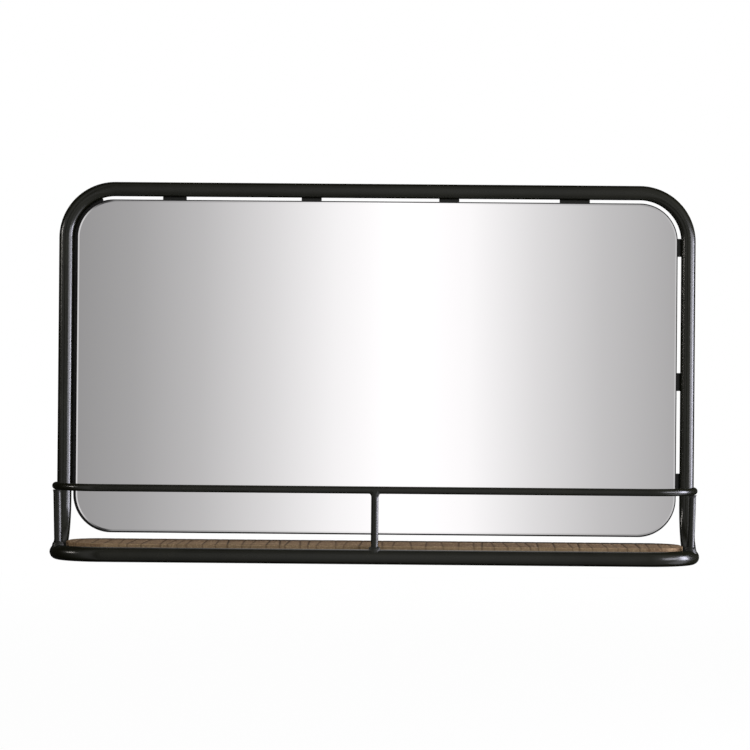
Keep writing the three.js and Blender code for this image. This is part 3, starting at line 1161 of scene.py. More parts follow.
    def leg(self, side: Side) -> bpy.types.Object:
        """Builds a leg from the loop's corner up to the rail, leaning a little outward.

        Args:
            side: which leg.

        Returns:
            The finished leg.
        """
        node = f"rail_leg_{side.word}"
        axis = middle_of(node)
        axis.z = self.plan.loop_z
        piece = self.stay(f"leg_{side.word}", axis, self.foot_weld, self.leg_top_weld, hugs=False)
        height = middle_of("guard_rail").z - self.plan.loop_z
        for corner in piece.mesh.verts:
            corner.co.x += side.value * self.leg_lean * (corner.co.z - self.plan.loop_z) / height
        return piece.deliver(POWDER_COAT, node, trims=[WELD_COAT])

    def post(self) -> bpy.types.Object:
        """Builds the post in the middle of the front, welded at both ends.

        Returns:
            The finished post.
        """
        node = "rail_post_centre"
        axis = Vector((middle_of(node).x, self.plan.front_y, self.plan.loop_z))
        piece = self.stay("centre_post", axis, self.post_weld, self.top_weld, hugs=True)
        return piece.deliver(POWDER_COAT, node, trims=[WELD_COAT])

    def hug_rail(self, piece: Workpiece, centre: Vector, rail_z: float) -> None:
        """Narrows the post's upper weld to the rail's width and lets it climb the rail's side.

        Args:
            piece: the post.
            centre: a point on the post's axis.
            rail_z: height of the rail's centre line.
        """
        under = rail_z - self.rod_radius
        reach = self.rod_radius * self.hug_reach
        for corner in piece.mesh.verts:
            if corner.co.z < under - self.top_weld.climb:
                continue
            across = corner.co.y - centre.y
            if abs(across) > reach:
                across = math.copysign(reach, across)
                corner.co.y = centre.y + across
            part = (corner.co.z - under + self.top_weld.climb) / self.top_weld.climb
            depth = math.sqrt(max(self.rod_radius**2 - across**2, 0))
            corner.co.z += (self.rod_radius - depth) * min(max(part, 0), 1) ** 2

    def build(self) -> None:
        """Builds the rail, its legs and its post."""
        self.rail()
        self.leg(Side.LEFT)
        self.leg(Side.RIGHT)
        self.post()


# ------------------------------------------------------------------ mirror


def rounded_slab(
    name: str, low: Vector, high: Vector, radius: float, through: Vector, segments: int
) -> Workpiece:
    """Makes a slab with round corners.

    Args:
        name: the piece's name.
        low: its lowest corner.
        high: its highest corner.
        radius: radius of the four corners.
        through: the axis of the slab's thickness.
        segments: how many faces each corner has.

    Returns:
        The slab.
    """
    piece = Workpiece(name)
    piece.block(low, high)
    piece.round_off(piece.edges_along(through), radius, segments)
    return piece


@dataclass
class Mirror:
    """The glass, its foam tape and the board that backs it."""

    corner_radius: float = 51.5 * MM
    arris_width: float = 2.0 * MM
    arris_depth: float = 0.45 * MM
    back_arris: float = 0.5 * MM
    facing: float = 0.5  # a face that leans less than this towards the viewer is an edge
    corner_segments: int = 28
    board_radius: float = 53 * MM
    board_ease: float = 0.5 * MM
    pocket_depth: float = 5 * MM
    pocket_margin: float = 2.5 * MM

    def glass(self) -> bpy.types.Object:
        """Builds the glass: a flat face, a ground arris round it, and a green edge.

        Returns:
            The finished glass.
        """
        low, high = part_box("mirror_glass")
        low.y += self.arris_depth
        piece = rounded_slab("glass", low, high, self.corner_radius, BACK, self.corner_segments)
        piece.smooth_turn = TRUE_SIDED
        mesh = piece.mesh
        mesh.normal_update()
        for face in mesh.faces:
            face.material_index = int(abs(face.normal.y) < self.facing)
        front = min(mesh.faces, key=lambda f: f.calc_center_median().y)
        bmesh.ops.inset_region(
            mesh,
            faces=[front],
            thickness=self.arris_width,
            depth=self.arris_depth,
            use_even_offset=True,
        )
        rear = [e for e in mesh.edges if all(abs(v.co.y - high.y) < HAIR for v in e.verts)]
        piece.round_off(rear, self.back_arris, 1)
        return piece.deliver(SILVERED_GLASS, "mirror_glass", trims=[GROUND_GLASS])

    def backing(self, plates: "MirrorPlates") -> bpy.types.Object:
        """Builds the backing board, with its screw holes and a pocket behind each keyhole.

        Args:
            plates: the plates that are screwed to it.

        Returns:
            The finished board.
        """
        low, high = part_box("backing_board")
        piece = rounded_slab("backing", low, high, self.board_radius, BACK, self.corner_segments)
        piece.ease(self.board_ease)
        cutters = [plates.screw_hole(screw) for screw in plates.screw_nodes()]
        for side in Side:
            pocket = plates.stadium(side, plates.keyhole_radius + self.pocket_margin)
            cutters.append(pocket.between(high.y - self.pocket_depth, high.y + OVERSHOOT))
        piece.carve(cutters)
        return piece.deliver(PAINTED_BOARD, "backing_board")

    def build(self, plates: "MirrorPlates") -> None:
        """Builds the glass and the board, and dresses the tape between them.

        Args:
            plates: the plates that are screwed to the board.
        """
        self.glass()
        self.backing(plates)
        for node in nodes_named("adhesive_strip_"):
            coat(node, FOAM_TAPE)


# ------------------------------------------------------------------ screws


@dataclass
class Screw:
    """A pan-head screw with a cross recess. Its node gives its place and its whole length."""

    node: str
    axis: Vector  # from the tip to the head
    shank_radius: float
    head_radius: float
    head_height: float
    sides: int = 24
    tip: tuple[float, float] = (0.35, 0.4)  # radius and height of the point, in shank radii
    point_height: float = 2.4  # from the tip to the full shank, in shank radii
    head_foot: float = 0.94  # radius of the head's underside, in head radii
    head_lip: float = 0.12  # where the head is widest, in head heights
    dome_foot: float = 0.2  # where its dome starts, in head heights
    dome_fullness: float = 0.8  # a round dome has 1, and a fuller one less
    dome_steps: int = 6
    recess_width: float = 1.1 * MM
    recess_reach: float = 0.62  # in head radii
    recess_depth: float = 0.7  # in head heights

    def profile(self, length: float) -> Profile:
        """Draws the screw from its tip to the top of its head.

        Args:
            length: the screw's whole length.

        Returns:
            The profile.
        """
        shank, head, rise = self.shank_radius, self.head_radius, self.head_height
        under = length - rise
        tip_radius, tip_height = self.tip
        profile = [(0.0, 0.0), (tip_radius * shank, tip_height * shank)]
        profile += [(shank, self.point_height * shank), (shank, under)]
        profile += [(self.head_foot * head, under), (head, under + self.head_lip * rise)]
        for step in range(self.dome_steps + 1):
            angle = step / self.dome_steps * QUARTER
            height = self.dome_foot + (1 - self.dome_foot) * math.sin(angle)
            profile.append((head * math.cos(angle) ** self.dome_fullness, under + rise * height))
        return profile

    def recess(self, crest: Vector, across: float, thin: float) -> Workpiece:
        """Makes a cutter for one arm of the cross.

        Args:
            crest: the top of the head.
            across: half the arm's size one way across the head.
            thin: half its size the other way.

        Returns:
            The cutter.
        """
        reach = self.axis * self.recess_depth * self.head_height
        wide = self.axis.orthogonal().normalized() * across
        deep = self.axis.cross(wide.normalized()) * thin
        corners = [crest + reach - wide - deep, crest - reach + wide + deep]
        cutter = Workpiece("recess")
        cutter.block(Vector(map(min, *corners)), Vector(map(max, *corners)))
        return cutter

    def build(self) -> bpy.types.Object:
        """Turns the screw, then cuts the cross into its head.

        Returns:
            The finished screw.
        """
        low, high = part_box(self.node)
        length = (high - low).dot(Vector(abs(part) for part in self.axis))
        tip = (low + high) / 2 - self.axis * (length / 2)
        piece = Workpiece(self.node.replace("screw", "pan_screw"), smooth_turn=SOFT_SIDED)
        piece.turned(self.profile(length), tip, self.axis, self.sides)
        crest = tip + self.axis * length
        long, thin = self.head_radius * self.recess_reach, self.recess_width / 2
        piece.carve([self.recess(crest, long, thin), self.recess(crest, thin, long)])
        return piece.deliver(ZINC_PLATE, self.node)


# ------------------------------------------------------------------ plates behind the mirror


@dataclass
class Stadium:
    """A slot with round ends, upright in the wall's plane."""

    x: float
    low_z: float
    high_z: float
    radius: float
    roundness: float = 0.999  # at 1 the two arcs of an end would meet and overlap
    segments: int = 10

    def between(self, front: float, back: float) -> Workpiece:
        """Gives the slot its depth.

        Args:
            front: where it starts along Y.
            back: where it ends.

        Returns:
            A cutter for the slot.
        """
        low = Vector((self.x - self.radius, front, self.low_z - self.radius))
        high = Vector((self.x + self.radius, back, self.high_z + self.radius))
        reach = self.radius * self.roundness
        return rounded_slab("slot", low, high, reach, BACK, self.segments)


@dataclass
class MirrorPlates:
    """The plates that are welded to the tube and screwed to the backing, with a dark strip on the
    left that stands in for shade.
    """

    plan: FramePlan = PLAN
    corner_radius: float = 3 * MM
    ease_width: float = 0.4 * MM
    segments: int = 8
    keyhole_radius: float = 5 * MM
    slot_radius: float = 2.7 * MM
    slot_length: float = 13 * MM
    hole_radius: float = 2.05 * MM
    hole_sides: int = 32
    strip_reach: float = 4 * MM  # past the tube's centre line, outwards
    strip_lap: float = 26 * MM  # over the backing, inwards
    strip_end: float = 44.5 * MM  # its upper end, from the upright's centre line
    strip_steps: int = 24
    spacing: float = 558 * MM  # between the two keyholes

    @property
    def strip_turn(self) -> float:
        """How far round the tube's corner the strip runs, in radians."""
        bend = self.plan.bend_radius
        return math.acos((bend - self.strip_end) / (bend + self.strip_reach))

    def screw_nodes(self) -> list[str]:
        """The nodes of all screws into the backing."""
        starts = ("hanger_plate_", "mirror_tab_", "mirror_strip_")
        return [n for start in starts for n in nodes_named(start) if "_screw_" in n]

    def plate_nodes(self) -> list[str]:
        """The nodes of the flat plates, the curved strip left out."""
        starts = ("hanger_plate_", "mirror_tab_")
        return [n for start in starts for n in nodes_named(start) if "_screw_" not in n]

    def screw_hole(self, screw: str) -> Workpiece:
        """Makes a cutter for one screw's clearance hole.

        Args:
            screw: the screw's node.

        Returns:
            The cutter.
        """
        low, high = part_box(screw)
        middle = (low + high) / 2
        cutter = Workpiece("hole")
        start = Vector((middle.x, low.y - TIP_CLEARANCE, middle.z))
        end = Vector((middle.x, high.y + OVERSHOOT, middle.z))
        cutter.rod(start, end, self.hole_radius, self.hole_sides)
        return cutter

    def stadium(self, side: Side, radius: float) -> Stadium:
        """The slot over one keyhole, of that radius."""
        return Stadium(side.value * self.spacing / 2, -self.slot_length, 0.0, radius)

    def keyhole(self, side: Side, front: float, back: float) -> list[Workpiece]:
        """Makes the cutters for a keyhole: a round hole and the slot above it.

        Args:
            side: which keyhole.
            front: where they start along Y.
            back: where they end.

        Returns:
            The cutters.
        """
        x = side.value * self.spacing / 2
        entry = Workpiece("entry")
        start = Vector((x, front, -self.slot_length))
        end = Vector((x, back, -self.slot_length))
        entry.rod(start, end, self.keyhole_radius, 2 * self.hole_sides)
        return [entry, self.stadium(side, self.slot_radius).between(front, back)]

    def flat_plate(self, node: str) -> bpy.types.Object:
        """Builds a plate with round corners, its screw holes, and a hanger's keyhole.

        Args:
            node: the plate's node.

        Returns:
            The finished plate.
        """
        low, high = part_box(node)
        name = node.replace("_plate", "").replace("mirror_", "")
        piece = rounded_slab(name, low, high, self.corner_radius, BACK, self.segments)
        piece.ease(self.ease_width)
        cutters = [self.screw_hole(s) for s in self.screw_nodes() if s.startswith(node + "_screw")]
        for side in Side:
            if node == f"hanger_plate_{side.word}":
                cutters += self.keyhole(side, low.y - OVERSHOOT, high.y + OVERSHOOT)
        piece.carve(cutters)
        return piece.deliver(POWDER_COAT, node)

    def left_strip(self) -> bpy.types.Object:
        """Builds the long dark strip up the left side, which follows the tube round the corner and
        fills the gap beside the glass as painted shade.

        Returns:
            The finished strip.
        """
        node = "mirror_strip_left"
        low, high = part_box(node)
        plan = self.plan
        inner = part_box("backing_board")[0].x + self.strip_lap
        centre = Vector((-plan.half_width + plan.bend_radius, low.y, plan.top_z - plan.bend_radius))
        piece = Workpiece("strip_left")
        mesh = piece.mesh
        ends = [mesh.verts.new((x, low.y, low.z)) for x in (low.x, inner)]
        edge = mesh.edges.new(ends)
        rise = corners_among(bmesh.ops.extrude_edge_only(mesh, edges=[edge])["geom"])
        bmesh.ops.translate(mesh, verts=rise, vec=UP * (centre.z - low.z))
        lead = [e for e in mesh.edges if set(e.verts) == set(rise)]
        bmesh.ops.spin(
            mesh,
            geom=rise + lead,
            cent=centre,
            axis=BACK,
            angle=self.strip_turn,
            steps=self.strip_steps,
        )
        rear = corners_among(bmesh.ops.extrude_face_region(mesh, geom=list(mesh.faces))["geom"])
        bmesh.ops.translate(mesh, verts=rear, vec=BACK * (high.y - low.y))
        piece.ease(self.ease_width)
        piece.carve(self.screw_hole(s) for s in self.screw_nodes() if s.startswith(node))
        return piece.deliver(POWDER_COAT, node)

    def build(self) -> None:
        """Builds every plate and its screws."""
        for node in self.plate_nodes():
            self.flat_plate(node)
        # the left strip is a dark piece that stands in for the shade in the gap on that side
        self.left_strip()
        for node in self.screw_nodes():
            Screw(
                node, BACK, shank_radius=1.75 * MM, head_radius=3.7 * MM, head_height=2.2 * MM
            ).build()


@dataclass
class Bumpers:
    """Rubber bumpers that keep the frame off the wall."""

    wall_radius: float = 8.5 * MM
    foot_radius: float = 10 * MM
    foot_height: float = 0.15  # as a share of the bumper's
    rim_round: float = 1.2 * MM
    rim_steps: int = 6
    sides: int = 48

    def profile(self, height: float) -> Profile:
        """Draws a bumper from its foot on the frame to its rounded rim at the wall.

        Args:
            height: how far it stands off the frame.

        Returns:
            The profile.
        """
        foot = self.foot_radius
        profile = [(0.0, 0.0), (foot, 0.0), (foot, self.foot_height * height)]
        for step in range(self.rim_steps + 1):
            angle = step / self.rim_steps * QUARTER
            out = self.wall_radius - self.rim_round * (1 - math.cos(angle))
            profile.append((out, height - self.rim_round * (1 - math.sin(angle))))
        profile.append((0.0, height))
        return profile

    def build(self) -> None:
        """Turns each bumper on its own foot."""
        for node in nodes_named("wall_bumper_"):
            low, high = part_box(node)
            foot = middle_of(node)
            foot.y = low.y
            piece = Workpiece(node.replace("wall_", ""), smooth_turn=SOFT_SIDED)
            piece.turned(self.profile(high.y - low.y), foot, BACK, self.sides)
            piece.deliver(RUBBER, node)


# ------------------------------------------------------------------ shelf


@dataclass
class ShelfBoard:
    """The shelf: a sawn board, rounded to fit inside the tube, with saw marks across its top."""

    KERF_LAYER = "kerf"  # how dark the wood is: saw marks, and painted shade in a strip along the back edge
    WEAR_LAYER = "wear"  # how much light is painted on the front edge

    front_radius: float = 55.5 * MM
    back_radius: float = 45 * MM
    corner_segments: int = 20
    edge_ease: float = 1.0 * MM
    mark_pitch: float = 17 * MM
    mark_jitter: float = 6 * MM
    mark_end: float = 5 * MM  # the last mark stays this far from the board's end
    mark_end_darkness: float = 0.55  # where a mark runs over the edge, against that on the top
    mark_slant: float = 0.04  # in radians to either side
    mark_half_width: float = 2.0 * MM
    mark_depth: float = 0.35 * MM
    mark_strength: tuple[float, float] = (0.6, 1.0)  # of the full depth and darkness
    # a strip of painted shade along the top's back edge, darker towards the right
    strip_width: float = 34 * MM
    strip_fade: float = 8 * MM  # of that width, towards the front
    strip_darkness: tuple[float, float] = (0.6, 1.0)  # at its left and at its right end
    # painted light: the front edge is drawn paler, as light falls on it
    edge_wear: float = 0.3
    ease_segments: int = 3
    seed: int = 11

    def outline(self, name: str) -> Workpiece:
        """Makes the board before sawing: front and back corners have their own radii.

        Args:
            name: the piece's name.

        Returns:
            The board.
        """
        low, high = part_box("shelf_board")
        piece = Workpiece(name)
        piece.block(low, high)
        upright = piece.edges_along(UP)
        middle = (low.y + high.y) / 2
        front = [e for e in upright if e.verts[0].co.y < middle]
        piece.round_off(front, self.front_radius, self.corner_segments)
        back = [e for e in piece.edges_along(UP) if e.verts[0].co.y > high.y - HAIR]
        piece.round_off(back, self.back_radius, self.corner_segments)
        piece.ease(self.edge_ease, segments=self.ease_segments)
        return piece

    def worn_edge(self, piece: Workpiece) -> None:
        """Paints light on the front edge, between its round corners, drawing it paler as if lit.

        Args:
            piece: the board.
        """
        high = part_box("shelf_board")[1]
        # The back edge's straight part ends further out, so none of its corners is this near
        straight = high.x - self.front_radius + HAIR
        layer = piece.mesh.verts.layers.float.new(self.WEAR_LAYER)
        for corner in piece.mesh.verts:
            eased = high.z - self.edge_ease - HAIR < corner.co.z < high.z - HAIR
            if eased and abs(corner.co.x) < straight:
                corner[layer] = self.edge_wear

    def dark_back(self, piece: Workpiece) -> None:
        """Paints shade in a strip along the top's back edge, where the mirror above shades the
        board.

        Args:
            piece: the board.
        """
        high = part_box("shelf_board")[1]
        mesh = piece.mesh
        layer = mesh.verts.layers.float.new(self.KERF_LAYER)
        for back in (self.strip_width, self.strip_width - self.strip_fade):
            bmesh.ops.bisect_plane(
                mesh,
                geom=[*mesh.verts, *mesh.edges, *mesh.faces],
                dist=HAIR,
                plane_co=Vector((0, high.y - back, 0)),
                plane_no=BACK,
            )
        solid_from = high.y - self.strip_width + self.strip_fade - HAIR
        left, right = self.strip_darkness
        for corner in mesh.verts:
            if corner.co.y > solid_from and corner.co.z > high.z - self.edge_ease - HAIR:
                share = (corner.co.x + high.x) / (2 * high.x)
                corner[layer] = left + (right - left) * share

    def saw_marks(self, piece: Workpiece) -> None:
        """Presses shallow grooves across the top and notes where they and their ends are.

        Args:
            piece: the board.
        """
        low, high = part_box("shelf_board")
        edge_z = high.z - self.edge_ease - HAIR
        mesh = piece.mesh
        layer = mesh.verts.layers.float[self.KERF_LAYER]
        draw = random.Random(self.seed)
        x = low.x + self.mark_pitch
        while x < high.x - self.mark_end:
            slant = draw.uniform(-1.0, 1.0) * self.mark_slant
            across = Vector((math.cos(slant), math.sin(slant), 0))
            depth = draw.uniform(*self.mark_strength) * self.mark_depth
            place = Vector((x, (low.y + high.y) / 2, high.z))
            for offset in (-self.mark_half_width, self.mark_half_width, 0):
                cut = bmesh.ops.bisect_plane(
                    mesh,
                    geom=[*mesh.verts, *mesh.edges, *mesh.faces],
                    dist=HAIR,
                    plane_co=place + across * offset,
                    plane_no=across,
                )["geom_cut"]
            darkness = depth / self.mark_depth
            for corner in corners_among(cut):
                if corner.co.z > high.z - HAIR:
                    corner.co.z -= depth
                    corner[layer] = darkness
                elif corner.co.z >= edge_z:
                    corner[layer] = self.mark_end_darkness * darkness
            x += self.mark_pitch + draw.uniform(-1, 1) * self.mark_jitter

    def build(self) -> bpy.types.Object:
        """Builds the board with its screw holes underneath.

        Returns:
            The finished board.
        """
        piece = self.outline("sawn_board")
        steel = ShelfSteel()
        piece.carve(steel.screw_hole(screw) for screw in steel.screw_nodes())
        self.worn_edge(piece)
        self.dark_back(piece)
        self.saw_marks(piece)
        return piece.deliver(SAWN_HARDWOOD, "shelf_board")


@dataclass
class ShelfSteel:
    """The flat bar and tabs under the board, which are welded to the loop, and their screws."""

    hole_radius: float = 2.4 * MM
    hole_sides: int = 32
    ease_width: float = 0.4 * MM

    def screw_nodes(self) -> list[str]:
        """The nodes of all screws into the board."""
        return [n for n in nodes_named("shelf_") if "_screw_" in n]

    def screw_hole(self, screw: str) -> Workpiece:
        """Makes a cutter for one screw's clearance hole.

        Args:
            screw: the screw's node.

        Returns:
            The cutter.
        """
        low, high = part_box(screw)
        middle = (low + high) / 2
        cutter = Workpiece("hole")
        start = Vector((middle.x, middle.y, low.z - OVERSHOOT))
        end = Vector((middle.x, middle.y, high.z + TIP_CLEARANCE))
        cutter.rod(start, end, self.hole_radius, self.hole_sides)
        return cutter

    def plate(self, node: str, screws: Iterable[str]) -> bpy.types.Object:
        """Builds a flat piece of steel with eased edges and its screw holes.

        Args:
            node: the piece's node.
            screws: the nodes of the screws through it.

        Returns:
            The finished piece.
        """
        low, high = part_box(node)
        piece = Workpiece(node.replace("shelf_", "under_"))
        piece.block(low, high)
        piece.ease(self.ease_width)
        piece.carve(self.screw_hole(screw) for screw in screws)
        return piece.deliver(POWDER_COAT, node)

    def build(self) -> None:
        """Builds the bar, the tabs and the screws."""
        screws = self.screw_nodes()
        self.plate("shelf_cross_bar", [s for s in screws if "_bar_" in s])
        for place in ("left", "centre", "right"):
            self.plate(f"shelf_tab_{place}", [f"shelf_tab_screw_{place}"])
        for node in screws:
            Screw(
                node,
                -UP,
                shank_radius=2.1 * MM,
                head_radius=4 * MM,
                head_height=2.2 * MM,
                recess_width=1.2 * MM,
            ).build()


# ------------------------------------------------------------------ studio


@dataclass
class Lamp:
    """A soft lamp on a stand that faces the mirror."""

    name: str
    azimuth: float  # degrees to the right of straight ahead
    elevation: float  # degrees above the level
    distance: float
    width: float
    height: float
    radiance: float
    colour: str
    glossy: bool = True

    def light(self, target: Vector) -> None:
        """Sets the lamp up, aimed at the target.

        Args:
            target: the middle of what it lights.
        """
        turn = math.radians(self.azimuth)
        rise = math.radians(self.elevation)
        level = math.cos(rise)
        away = Vector((math.sin(turn) * level, -math.cos(turn) * level, math.sin(rise)))
        data = bpy.data.lights.new(self.name, "AREA")
        data.shape = "RECTANGLE"
        data.size, data.size_y = self.width, self.height
        data.energy = self.radiance * math.pi * self.width * self.height
        data.color = linear(self.colour)[:3]
        lamp = bpy.data.objects.new(self.name, data)
        lamp.location = target + away * self.distance
        lamp.rotation_euler = (-away).to_track_quat("-Z", "Y").to_euler()
        lamp.visible_camera = False
        lamp.visible_glossy = self.glossy
        bpy.context.scene.collection.objects.link(lamp)
        log.info("lamp %s", self.name)


@dataclass
class Studio:
    """A white studio: a pale floor, soft lamps, a room for the mirror to show, and the camera."""

    camera_distance: float = 3780 * MM
    camera_right: float = 35.6 * MM
    camera_above_loop: float = 232 * MM
    camera_yaw: float = 0.561  # degrees to the left, as pitch is up and roll anticlockwise
    camera_pitch: float = 0.185
    camera_roll: float = 0.49
    focal_length_mm: float = 130.46
    sensor_width_mm: float = 36
    floor_drop: float = 0.3
    floor_radius: float = 14
    floor_sides: int = 96
    paper_colour: str = "#f4f4f2"
    paper_glow: tuple[float, float] = (0.96, 1.0)  # share of its own light, near and far
    glow_reach: tuple[float, float] = (1.0, 4.0)  # how far off near ends and far starts
    daylight: str = "#b0b0b0"
    room_strength: float = 1.12
    # Each lamp's name, azimuth, elevation, distance, width, height, radiance and colour
    lamps: list[Lamp] = field(
        default_factory=lambda: [
            Lamp("window_right", 88, -2, 1.6, 0.42, 0.75, 23.0, "#eeeeff"),
            Lamp("room_right", 60, 3, 3.2, 1.7, 1.2, 8.0, "#f4f4ff"),
            Lamp("floor_right", 88, -30, 2.6, 1.4, 1.8, 1.6, "#f4f4ff"),
            Lamp("fill_left", -75, 11, 2.8, 0.5, 0.3, 24.0, "#fffaf4"),
            Lamp("overhead", 0, 84, 2.4, 2.4, 2.2, 0.9, WHITE, glossy=False),
            Lamp("front", 0, 14, 3.4, 2.0, 1.0, 2.0, WHITE, glossy=False),
        ]
    )
    # Brightness of the room in degrees to the side of straight ahead, as sRGB greys
    room: tuple[tuple[float, str], ...] = (
        (-180, "#242424"),
        (-120, "#101010"),
        (-110, "#0a0a0a"),
        (-85, "#303030"),
        (-60, "#707070"),
        (-43, "#b8b8b8"),
        (-30, "#cccccc"),
        (-22, "#808080"),
        (-17, "#404040"),
        (-12, "#404040"),
        (-6.8, "#929292"),
        (-5.1, "#a6a6a6"),
        (-3.8, "#bfbfbf"),
        (-2.4, "#dbdbdb"),
        (-0.8, "#f9f9f9"),
        (0, "#ffffff"),
        (0.9, "#ffffff"),
        (2.2, "#e4e4e4"),
        (3.7, "#c6c6c6"),
        (5.2, "#adadad"),
        (6.5, "#a0a0a0"),
        (11, "#989898"),
        (20, "#a8a8a8"),
        (30, "#bcbcbc"),
        (43, "#c0c0c0"),
        (60, "#bebebe"),
        (88, "#7a7a7a"),
        (110, "#101010"),
        (120, "#101010"),
        (180, "#242424"),
    )
    # The same in degrees above the level, as shares of the room's brightness
    rise: tuple[tuple[float, str], ...] = (
        (-90, "#b0b0b0"),
        (-60, "#d8d8d8"),
        (-14, "#ffffff"),
        (34, "#ffffff"),
        (60, "#d0d0d0"),
        (90, "#c8c8c8"),
    )

    def camera(self) -> None:
        """Sets the camera up in front of the mirror, aimed a little left of straight ahead."""
        data = bpy.data.cameras.new("camera")
        data.sensor_width = self.sensor_width_mm
        data.lens = self.focal_length_mm
        camera = bpy.data.objects.new("camera", data)
        camera.location = Vector(
            (
                self.camera_right,
                PLAN.upright_y - self.camera_distance,
                PLAN.loop_z + self.camera_above_loop,
            )
        )
        yaw = Matrix.Rotation(math.radians(self.camera_yaw), 4, "Z")
        level = Matrix.Rotation(QUARTER + math.radians(self.camera_pitch), 4, "X")
        roll = Matrix.Rotation(math.radians(self.camera_roll), 4, "Z")
        camera.rotation_euler = (yaw @ level @ roll).to_euler()
        bpy.context.scene.collection.objects.link(camera)
        bpy.context.scene.camera = camera

    @staticmethod
    def by_angle(
        tree: bpy.types.NodeTree,
        angle: bpy.types.NodeSocket,
        limit: float,
        stops: Iterable[tuple[float, str]],
    ) -> bpy.types.NodeSocket:
        """Reads a table of colours by an angle.

        Args:
            tree: the node tree.
            angle: the angle in radians.
            limit: the largest angle either way, in degrees.
            stops: angles in degrees and their sRGB colours.

        Returns:
            The colour at that angle.
        """
        ends = math.radians(limit)
        place = add_node(
            tree,
            "ShaderNodeMapRange",
            sockets={"Value": angle, "From Min": -ends, "From Max": ends},
        ).outputs["Result"]
        places = [((degrees / limit + 1) / 2, linear(grey)) for degrees, grey in stops]
        return add_node(
            tree, "ShaderNodeValToRGB", sockets={"Fac": place}, stops=places
        ).outputs["Color"]

    def room_colour(self, tree: bpy.types.NodeTree) -> bpy.types.NodeSocket:
        """Works out the room's brightness in each direction.

        Args:
            tree: the world's node tree.

        Returns:
            The colour in the direction that a ray takes.
        """
        direction = add_node(tree, "ShaderNodeTexCoord").outputs["Generated"]
        parts = add_node(tree, "ShaderNodeSeparateXYZ", sockets={"Vector": direction}).outputs
        ahead = add_node(
            tree, "ShaderNodeMath", {"operation": "MULTIPLY"}, {0: parts["Y"], 1: -1.0}
        ).outputs[0]
        turn = add_node(
            tree, "ShaderNodeMath", {"operation": "ARCTAN2"}, {0: parts["X"], 1: ahead}
        ).outputs[0]
        height = add_node(
            tree, "ShaderNodeMath", {"operation": "ARCSINE"}, {0: parts["Z"]}
        ).outputs[0]
        around = self.by_angle(tree, turn, 180, self.room)
        upward = self.by_angle(tree, height, 90, self.rise)
        return add_node(
            tree,
            "ShaderNodeVectorMath",
            {"operation": "MULTIPLY"},
            {0: around, 1: upward},
        ).outputs["Vector"]

    def world(self) -> None:
        """Makes the world: plain daylight, a room for glass and gloss to show, white to the eye."""
        world = bpy.data.worlds.new("studio")
        world.use_nodes = True
        tree = world.node_tree
        tree.nodes.clear()
        bright = add_node(
            tree,
            "ShaderNodeVectorMath",
            {"operation": "SCALE"},
            {0: self.room_colour(tree), "Scale": self.room_strength},
        ).outputs["Vector"]
        rays = add_node(tree, "ShaderNodeLightPath").outputs
        unseen = add_node(
            tree,
            "ShaderNodeMix",
            {"data_type": "RGBA"},
            {"Factor": rays["Is Glossy Ray"], MIX_A: linear(self.daylight), MIX_B: bright},
        ).outputs[MIX_RESULT]
        seen = add_node(
            tree,
            "ShaderNodeMath",
            {"operation": "MAXIMUM"},
            {0: rays["Is Camera Ray"], 1: rays["Is Transmission Ray"]},
        ).outputs[0]
        colour = add_node(
            tree,
            "ShaderNodeMix",
            {"data_type": "RGBA"},
            {"Factor": seen, MIX_A: unseen, MIX_B: linear(WHITE)},
        ).outputs[MIX_RESULT]
        background = add_node(tree, "ShaderNodeBackground", sockets={"Color": colour})
        add_node(
            tree,
            "ShaderNodeOutputWorld",
            sockets={"Surface": background.outputs["Background"]},
        )
        bpy.context.scene.world = world

    def floor(self) -> None:
        """A pale disc below the mirror, which keeps its shadow and fades into the white."""
        piece = bmesh.new()
        low = CAD_BOX[0]
        place = Matrix.Translation((0, 0, low.z - self.floor_drop))
        bmesh.ops.create_circle(
            piece,
            cap_ends=True,
            segments=self.floor_sides,
            radius=self.floor_radius,
            matrix=place,
        )
        mesh = bpy.data.meshes.new("floor")
        piece.to_mesh(mesh)
        piece.free()
        mesh.materials.append(self.paper())
        floor = bpy.data.objects.new("floor", mesh)
        floor.visible_glossy = False
        floor.visible_diffuse = False
        bpy.context.scene.collection.objects.link(floor)

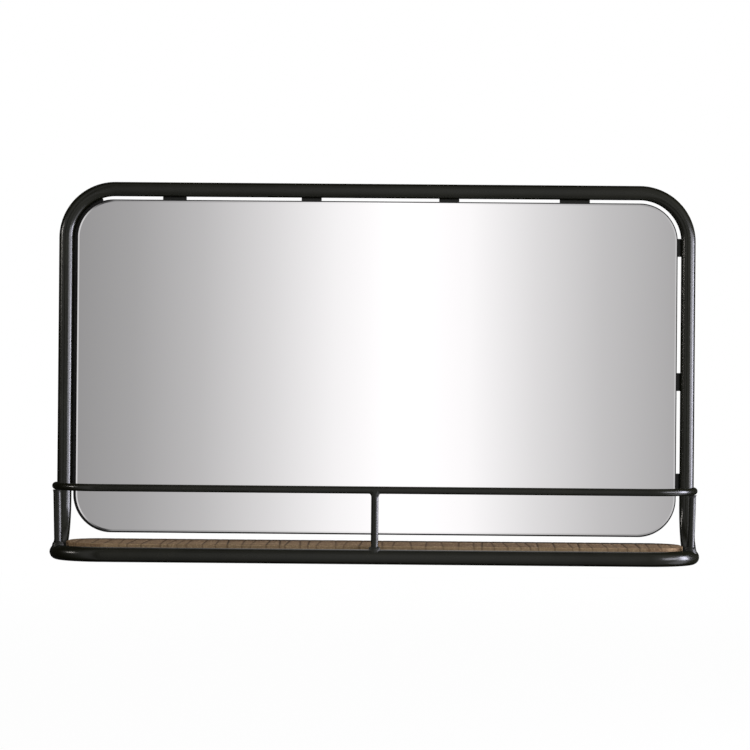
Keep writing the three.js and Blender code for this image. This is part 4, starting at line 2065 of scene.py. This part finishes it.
    def paper(self) -> bpy.types.Material:
        """Makes white studio paper, which glows to the eye, and wholly so far away.

        Returns:
            The paper's material.
        """
        material = bpy.data.materials.new("studio_paper")
        material.use_nodes = True
        tree = material.node_tree
        tree.nodes.clear()
        matt = add_node(
            tree, "ShaderNodeBsdfDiffuse", sockets={"Color": linear(self.paper_colour)}
        ).outputs["BSDF"]
        glow = add_node(tree, "ShaderNodeEmission", sockets={"Color": linear(WHITE)})
        place = add_node(tree, "ShaderNodeTexCoord").outputs["Object"]
        reach = add_node(
            tree, "ShaderNodeVectorMath", {"operation": "LENGTH"}, {0: place}
        ).outputs["Value"]
        near, far = self.glow_reach
        least, most = self.paper_glow
        limits = {"From Min": near, "From Max": far, "To Min": least, "To Max": most}
        share = add_node(
            tree,
            "ShaderNodeMapRange",
            {"interpolation_type": "SMOOTHSTEP"},
            {"Value": reach, **limits},
        ).outputs["Result"]
        rays = add_node(tree, "ShaderNodeLightPath").outputs
        seen = add_node(
            tree,
            "ShaderNodeMath",
            {"operation": "MULTIPLY"},
            {0: share, 1: rays["Is Camera Ray"]},
        ).outputs[0]
        surface = add_node(
            tree,
            "ShaderNodeMixShader",
            sockets={0: seen, 1: matt, 2: glow.outputs["Emission"]},
        )
        add_node(
            tree,
            "ShaderNodeOutputMaterial",
            sockets={"Surface": surface.outputs["Shader"]},
        )
        return material

    def build(self) -> None:
        """Sets up everything that isn't part of the object."""
        self.camera()
        self.world()
        self.floor()
        target = (CAD_BOX[0] + CAD_BOX[1]) / 2
        for lamp in self.lamps:
            lamp.light(target)
        bpy.context.scene.view_settings.view_transform = "Standard"


# ------------------------------------------------------------------ the whole scene


def main() -> None:
    """Builds the sub-assemblies in order, then the studio."""
    logging.basicConfig(level=logging.INFO, format="%(name)s: %(message)s")
    plates = MirrorPlates()
    TubeFrame().build()
    GuardRail().build()
    Mirror().build(plates)
    plates.build()
    Bumpers().build()
    ShelfBoard().build()
    ShelfSteel().build()
    Studio().build()


if __name__ == "__main__":
    main()
